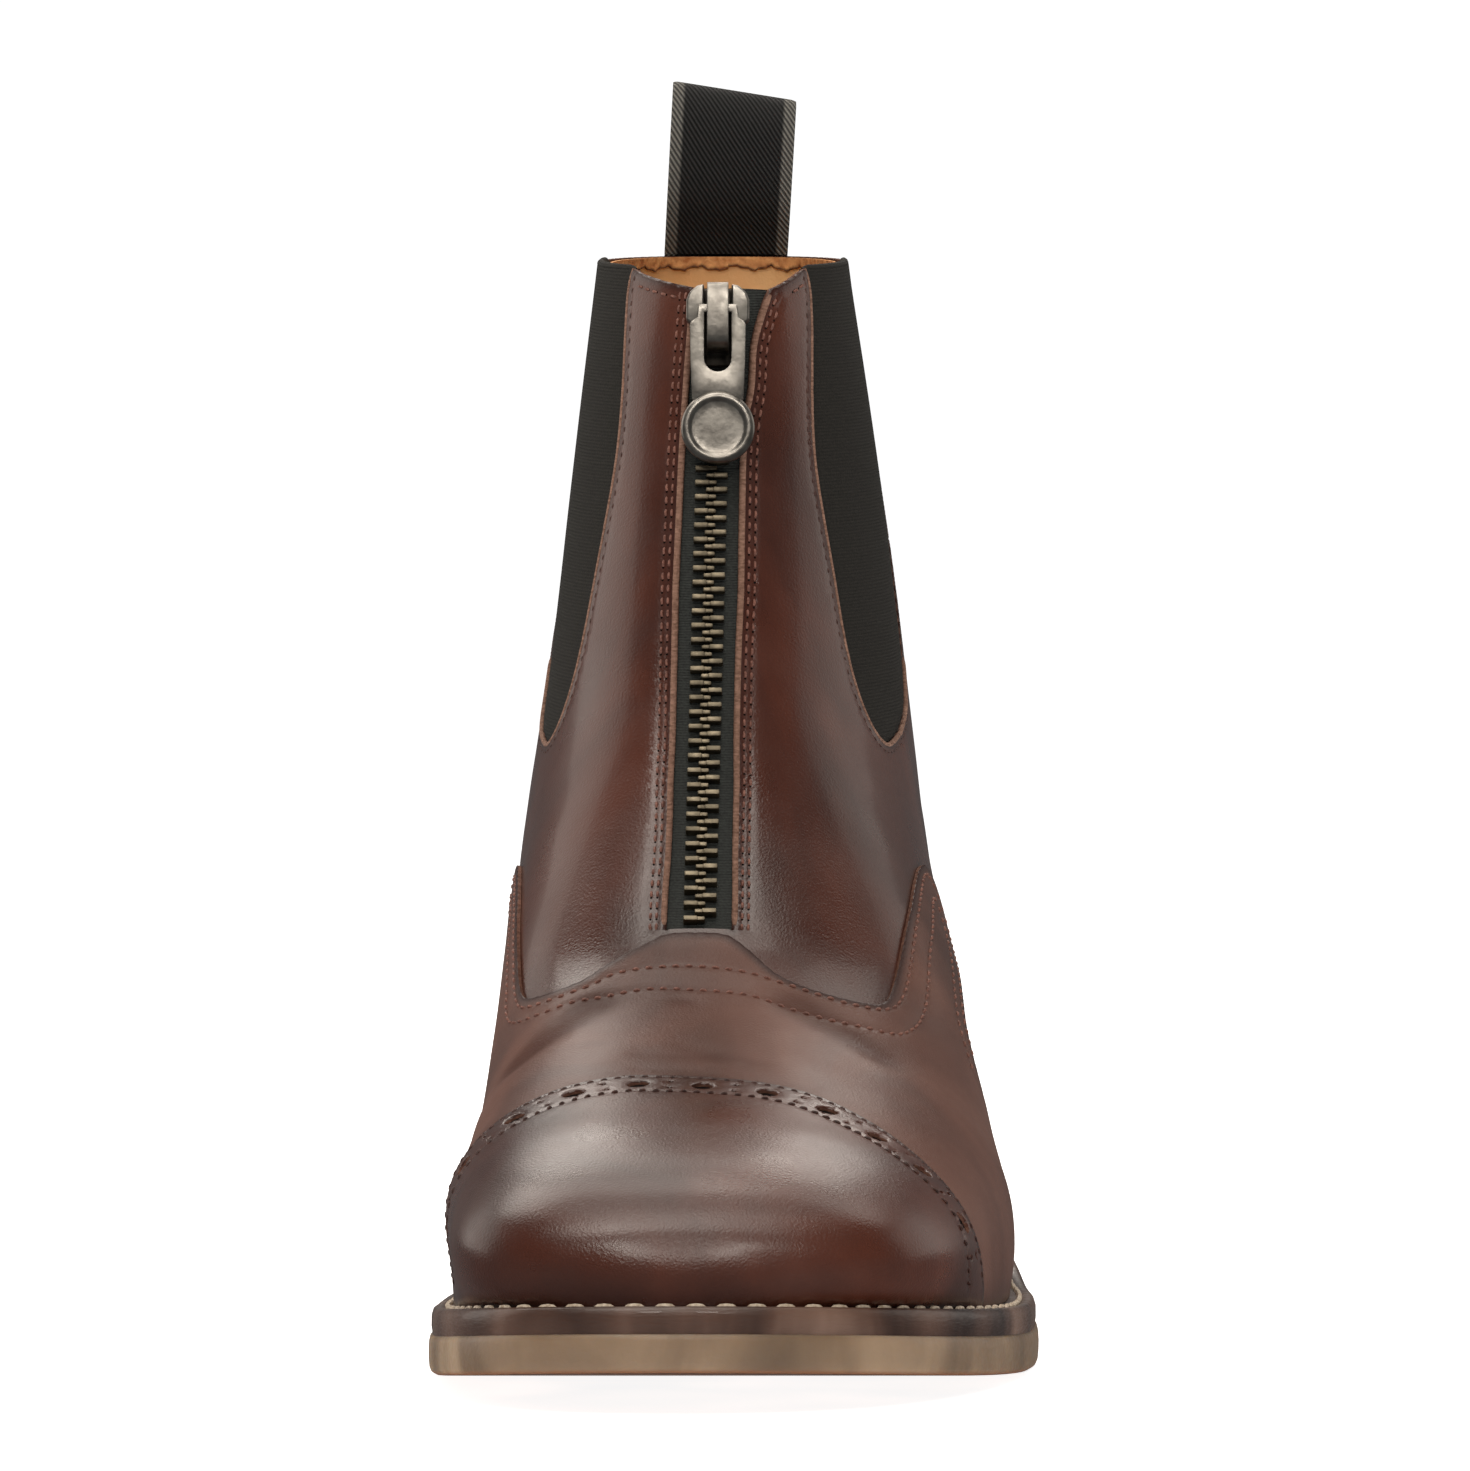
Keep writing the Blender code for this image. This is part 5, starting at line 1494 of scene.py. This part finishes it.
def build_loop(webbing):
    """Webbing loop that straddles the back of the collar."""
    s_back, _, s_front, _, _, _, half, belly, _, power = SECTIONS[COLLAR_ROW]
    depth = belly * (s_back - s_front)
    wide = LOOP_POINTS
    across = np.sin(np.linspace(-1, 1, wide) * math.pi / 2) * LOOP_WIDTH / 2
    bend = depth * (1 - (1 - (np.abs(across) / half) ** power) ** (1 / power))
    rim = LOOP_WIDTH / 2 - np.abs(across)
    thin = LOOP_RIM + (1 - LOOP_RIM) * np.clip(rim / LOOP_RIM_WIDTH, 0, 1) ** 0.5
    collar = SECTIONS[COLLAR_ROW][3]
    path = rounded(LOOP_PATH, steps=LOOP_STEPS)
    ways = unit(np.gradient(path[:, :2], axis=0))
    run = travelled(path[:, :2])
    points, cloth, gap = [], [], []
    for side in (0.5, -0.5):
        for (back, z, follow), (ds, dz), travel in zip(path, ways, run):
            over = max(z - collar, 0.0)
            slant = min(over / LOOP_WIDTH, 1.0) * LOOP_SLANT
            for x, dip, slim, near in zip(across, bend, thin, rim):
                thick = LOOP_THICK * side * slim
                shift = LOOP_X + x + over * LOOP_LEAN
                points.append((shift, s_back + back - dip * follow - dz * thick, z + ds * thick - x * slant))
                cloth.append((x, travel))
                gap.append(near)
    rows = len(path)
    layer = rows * wide
    faces = []
    for i in range(rows - 1):
        for j in range(wide - 1):
            a = i * wide + j
            ring = (a, a + 1, a + 1 + wide, a + wide)
            faces += [ring, tuple(n + layer for n in ring)]
    border = [*range(wide), *(i * wide + wide - 1 for i in range(1, rows))]
    border += range(layer - 2, layer - wide - 1, -1)
    border += [i * wide for i in range(rows - 2, 0, -1)]
    faces += [(a, b, b + layer, a + layer) for a, b in zip(border, border[1:] + border[:1])]
    piece = new_piece("webbing_loop", points, faces, [webbing], "webbing")
    put_attribute(piece, "edge", gap)
    layout = piece.data.uv_layers.new(name="cloth")
    corners = np.empty(len(piece.data.loops), np.int32)
    piece.data.loops.foreach_get("vertex_index", corners)
    layout.data.foreach_set("uv", np.array(cloth, np.float32)[corners].ravel())
    welded(piece, turn=True)
    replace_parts(piece, "pull_loop")


def block(rings, turn):
    """Points and faces of a block between rings; point n of a ring lies across from point turn - n."""
    around = len(rings[0])
    faces = bridged(len(rings), around)
    for first in (0, (len(rings) - 1) * around):
        for n in range(around // 2):
            strip = dict.fromkeys((n, n + 1, (turn - n - 1) % around, (turn - n) % around))
            faces.append(tuple(first + m for m in strip))
    return np.concatenate(rings), [face for face in faces if len(face) > 2]


def sole_plate(levels, angles, base, grooves=()):
    """Points and faces of a plate in the sole's plan: levels of inset and height over a base height."""
    stations = SOLE_LENGTH / 2 * (1 - np.cos(angles))
    middle = np.array(grooves).reshape(-1, 1)
    cut = (np.abs(stations - middle) < GROOVE_WIDTH / 2).any(0) * GROOVE_DEPTH
    cut = np.concatenate([cut, cut[-2:0:-1]])
    rings = []
    for k, (inset, height) in enumerate(levels):
        ring = sole_ring(inset, angles)
        rings.append(np.column_stack([ring, base(ring[:, 1]) + (cut if k == 0 else height)]))
    return block(rings, 0)


def grooved_angles(grooves, count):
    """Stations round half the sole, with close pairs at the sides of each groove."""
    sides = [
        middle + side * (GROOVE_WIDTH / 2 + nudge)
        for middle in grooves
        for side in (-1, 1)
        for nudge in (-GROOVE_NUDGE, GROOVE_NUDGE)
    ]
    return np.unique(np.concatenate([np.linspace(0, math.pi, count), angle_of(np.array(sides))]))


def build_sole(rubber, edge, sock):
    """Grooved outsole, welt and the sock on the insole."""
    angles = grooved_angles(FOREFOOT_GROOVES, OUTSOLE_STATIONS)
    shape = sole_plate(OUTSOLE_LEVELS, angles, lift, FOREFOOT_GROOVES)
    piece = new_piece("outsole_rubber", *shape, [rubber], "sole")
    around = len(piece.data.vertices) // len(OUTSOLE_LEVELS)
    put_attribute(piece, "edge", np.repeat([height for _, height in OUTSOLE_LEVELS], around))
    welded(piece, turn=True)
    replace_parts(piece, "outsole")
    angles = np.linspace(0, math.pi, WELT_STATIONS)
    piece = new_piece("welt_strip", *sole_plate(WELT_LEVELS, angles, lift), [edge], "welt")
    welded(piece, turn=True)
    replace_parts(piece, "welt")
    piece = new_piece("insole_sock", *sole_plate(INSOLE_LEVELS, angles, seam_height), [sock], "insole")
    welded(piece, turn=True)
    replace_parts(piece, "insole")


def heel_ring(inset, height, angles):
    """Points round the heel from its inner breast corner to its outer one."""
    inner = sole_ring(inset, angles)[: len(angles)]
    outer = sole_ring(inset, np.concatenate([[0.0], angles]))[len(angles) + 1 :]
    ring = np.concatenate([inner, outer])
    roof = lift(ring[:, 1]) - SEAT_GAP
    return np.column_stack([ring, np.minimum(height, roof)])


def build_heel(stack):
    """Heel block with a straight breast and thin grooves between its layers."""
    angles = np.linspace(float(angle_of(HEEL_BREAST)), math.pi, HEEL_STATIONS)
    rings = [heel_ring(inset, height, angles) for inset, height in HEEL_LEVELS]
    piece = new_piece("heel_stack", *block(rings, -1), [stack], "heel")
    welded(piece, turn=True)
    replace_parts(piece, "heel")


def build_welt_stitches(cream):
    """Cream lockstitch in the channel on top of the welt."""
    ring = round_trip(sole_ring(WELT_ROW, np.linspace(0, math.pi, WELT_SAMPLES)))
    length = travelled(ring)
    count = int(length[-1] / WELT_PITCH)
    share = (np.arange(count)[:, None] + np.linspace(0, WELT_STITCH, STITCH_POINTS)) / count * length[-1]
    x, s = np.moveaxis(read_off(share, length, ring), -1, 0)
    z = lift(s) + WELT_FOOT + WELT_THICK - WELT_SUNK + WELT_THREAD * STITCH_ARCH
    out = np.broadcast_to((0.0, 0.0, 1.0), (count, STITCH_POINTS, 3))
    shape = thread(np.stack([x, s, z], -1), out, WELT_THREAD)
    piece = new_piece("welt_stitches", *shape, [cream], "welt")
    welded(piece, turn=True)


# Studio: lights with their place, aim, size and power, then the floor and the camera at the photo's angle
WARM = (1.0, 0.93, 0.85)
LIGHTS = (
    ("left_box", (-0.95, 0.45, 0.4), (0, 0, 0.1), (0.9, 0.8), 2.6),
    ("right_box", (0.95, 0.5, 0.4), (0, 0, 0.1), (0.9, 0.8), 1.6),
    ("top_left", (-0.5, 0.45, 1.0), (0, -0.05, 0.05), (0.5, 0.5), 3.3),
    ("top_right", (0.5, 0.4, 1.0), (0, -0.05, 0.05), (0.45, 0.45), 1.1),
    ("top_back", (0.0, 0.38, 1.05), (0, -0.05, 0.05), (0.35, 0.3), 1.2),
    ("overhead", (0.0, -0.3, 1.15), (0, -0.1, 0.05), (0.6, 0.6), 4.2),
    ("back_box", (0.0, 0.9, 0.8), (0, -0.05, 0.05), (0.7, 0.5), 3.5),
    ("front_box_left", (-0.22, -1.2, 0.95), (0, 0, 0.08), (0.16, 0.22), 2.7),
    ("front_box_right", (0.22, -1.2, 0.95), (0, 0, 0.08), (0.16, 0.22), 3.0),
    ("front_left", (-0.28, -0.5, 1.05), (0, -0.05, 0.05), (0.4, 0.4), 2.0),
)
WORLD_STRENGTH = 0.12
FLOOR_REACH = 60.0
FLOOR_FRONT = -8
FLOOR_DROP = 0.0003
CAMERA_AT = (0, -2.565, 0.240)
CAMERA_TILT = 86.895
CAMERA_LENS = 375.3


def area_light(name, place, aim, size, power):
    """A warm soft box that the camera doesn't see."""
    light = bpy.data.lights.new(name, "AREA")
    light.shape = "RECTANGLE"
    light.size, light.size_y = size
    light.energy = power
    light.color = WARM
    lamp = bpy.data.objects.new(name, light)
    lamp.location = place
    lamp.rotation_euler = (Vector(aim) - Vector(place)).to_track_quat("-Z", "Y").to_euler()
    lamp.visible_camera = False
    bpy.context.scene.collection.objects.link(lamp)


def build_floor():
    """Pale floor that mirrors leave out."""
    mesh = bpy.data.meshes.new("floor")
    front = [(-FLOOR_REACH, FLOOR_FRONT, 0), (FLOOR_REACH, FLOOR_FRONT, 0)]
    back = [(FLOOR_REACH, FLOOR_REACH, 0), (-FLOOR_REACH, FLOOR_REACH, 0)]
    mesh.from_pydata(front + back, [], [(0, 1, 2, 3)])
    mesh.materials.append(floor_material())
    floor = bpy.data.objects.new("floor", mesh)
    floor.location.z = -FLOOR_DROP
    floor.visible_glossy = False
    bpy.context.scene.collection.objects.link(floor)


def build_stage():
    """Floor, soft studio light and the camera."""
    build_floor()
    scene = bpy.context.scene
    scene.world = bpy.data.worlds.new("studio")
    scene.world.use_nodes = True
    shade = scene.world.node_tree.nodes["Background"]
    shade.inputs["Color"].default_value = (1, 1, 1, 1)
    shade.inputs["Strength"].default_value = WORLD_STRENGTH
    for light in LIGHTS:
        area_light(*light)
    lens = bpy.data.cameras.new("photo camera")
    lens.sensor_width = 36
    lens.lens = CAMERA_LENS
    lens.clip_end = 200
    camera = bpy.data.objects.new("photo camera", lens)
    camera.location = CAMERA_AT
    camera.rotation_euler = (math.radians(CAMERA_TILT), 0, 0)
    scene.collection.objects.link(camera)
    scene.camera = camera
    scene.view_settings.view_transform = "Standard"


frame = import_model()
russet = (tint(43, 19, 12), tint(64, 30, 19), tint(83, 42, 28))
# Vamp dyes: lighter than the rest, partly worn leather and partly painted sheen for the vamp's broad soft
# reflection.
worn_and_sheen_dyes = (tint(62, 35, 26), tint(86, 52, 40), tint(106, 69, 55))
calf = {"dyes": russet, "shine": 0.5, "smoothest": 0.24, "roughest": 0.38, "creasing": 0.04}
polished = leather_material("polished leather", coat=0.22, coat_rough=0.13, **calf)
burnished = leather_material("burnished leather", coat=0.16, coat_rough=0.2, **calf)
worn = leather_material(
    "creased leather", worn_and_sheen_dyes, shine=0.36, smoothest=0.36, roughest=0.5,
    coat=0.08, coat_rough=0.18, creasing=0.1,
)
cut_edge = raw_edge_material("cut edge", tint(70, 44, 34), tint(112, 78, 64))
seams = build_quarters(polished, cut_edge)
vamp_seams = build_vamp(worn, cut_edge)
build_stitching(seams, vamp_seams, *build_cap(burnished, cut_edge))
# Turned edges: tan cut-edge colour lightened to paint the highlight along their roll.
build_edges(raw_edge_material("rolled edge with painted highlight", tint(92, 66, 54), tint(140, 108, 92)))
build_lining(lining_material(), facing_material())
build_gores(elastic_material())
build_tape(tape_material())
build_teeth(metal_material("antique brass", tint(98, 91, 77), tint(138, 128, 109), 0.44, 0.58))
pewter = metal_material("pewter", tint(122, 118, 112), tint(152, 148, 141), 0.28, 0.4)
# The slider core's near-black pewter is painted shade for its deep window.
build_slider(pewter, metal_material("pewter in painted shade", tint(34, 32, 30), tint(66, 62, 57), 0.45, 0.6))
build_pull(pewter)
build_loop(webbing_material())
build_sole(outsole_material(), welt_material(), insole_material())
build_heel(heel_material())
build_welt_stitches(thread_material("cream thread", tint(170, 150, 126), tint(226, 212, 192)))
build_stage()
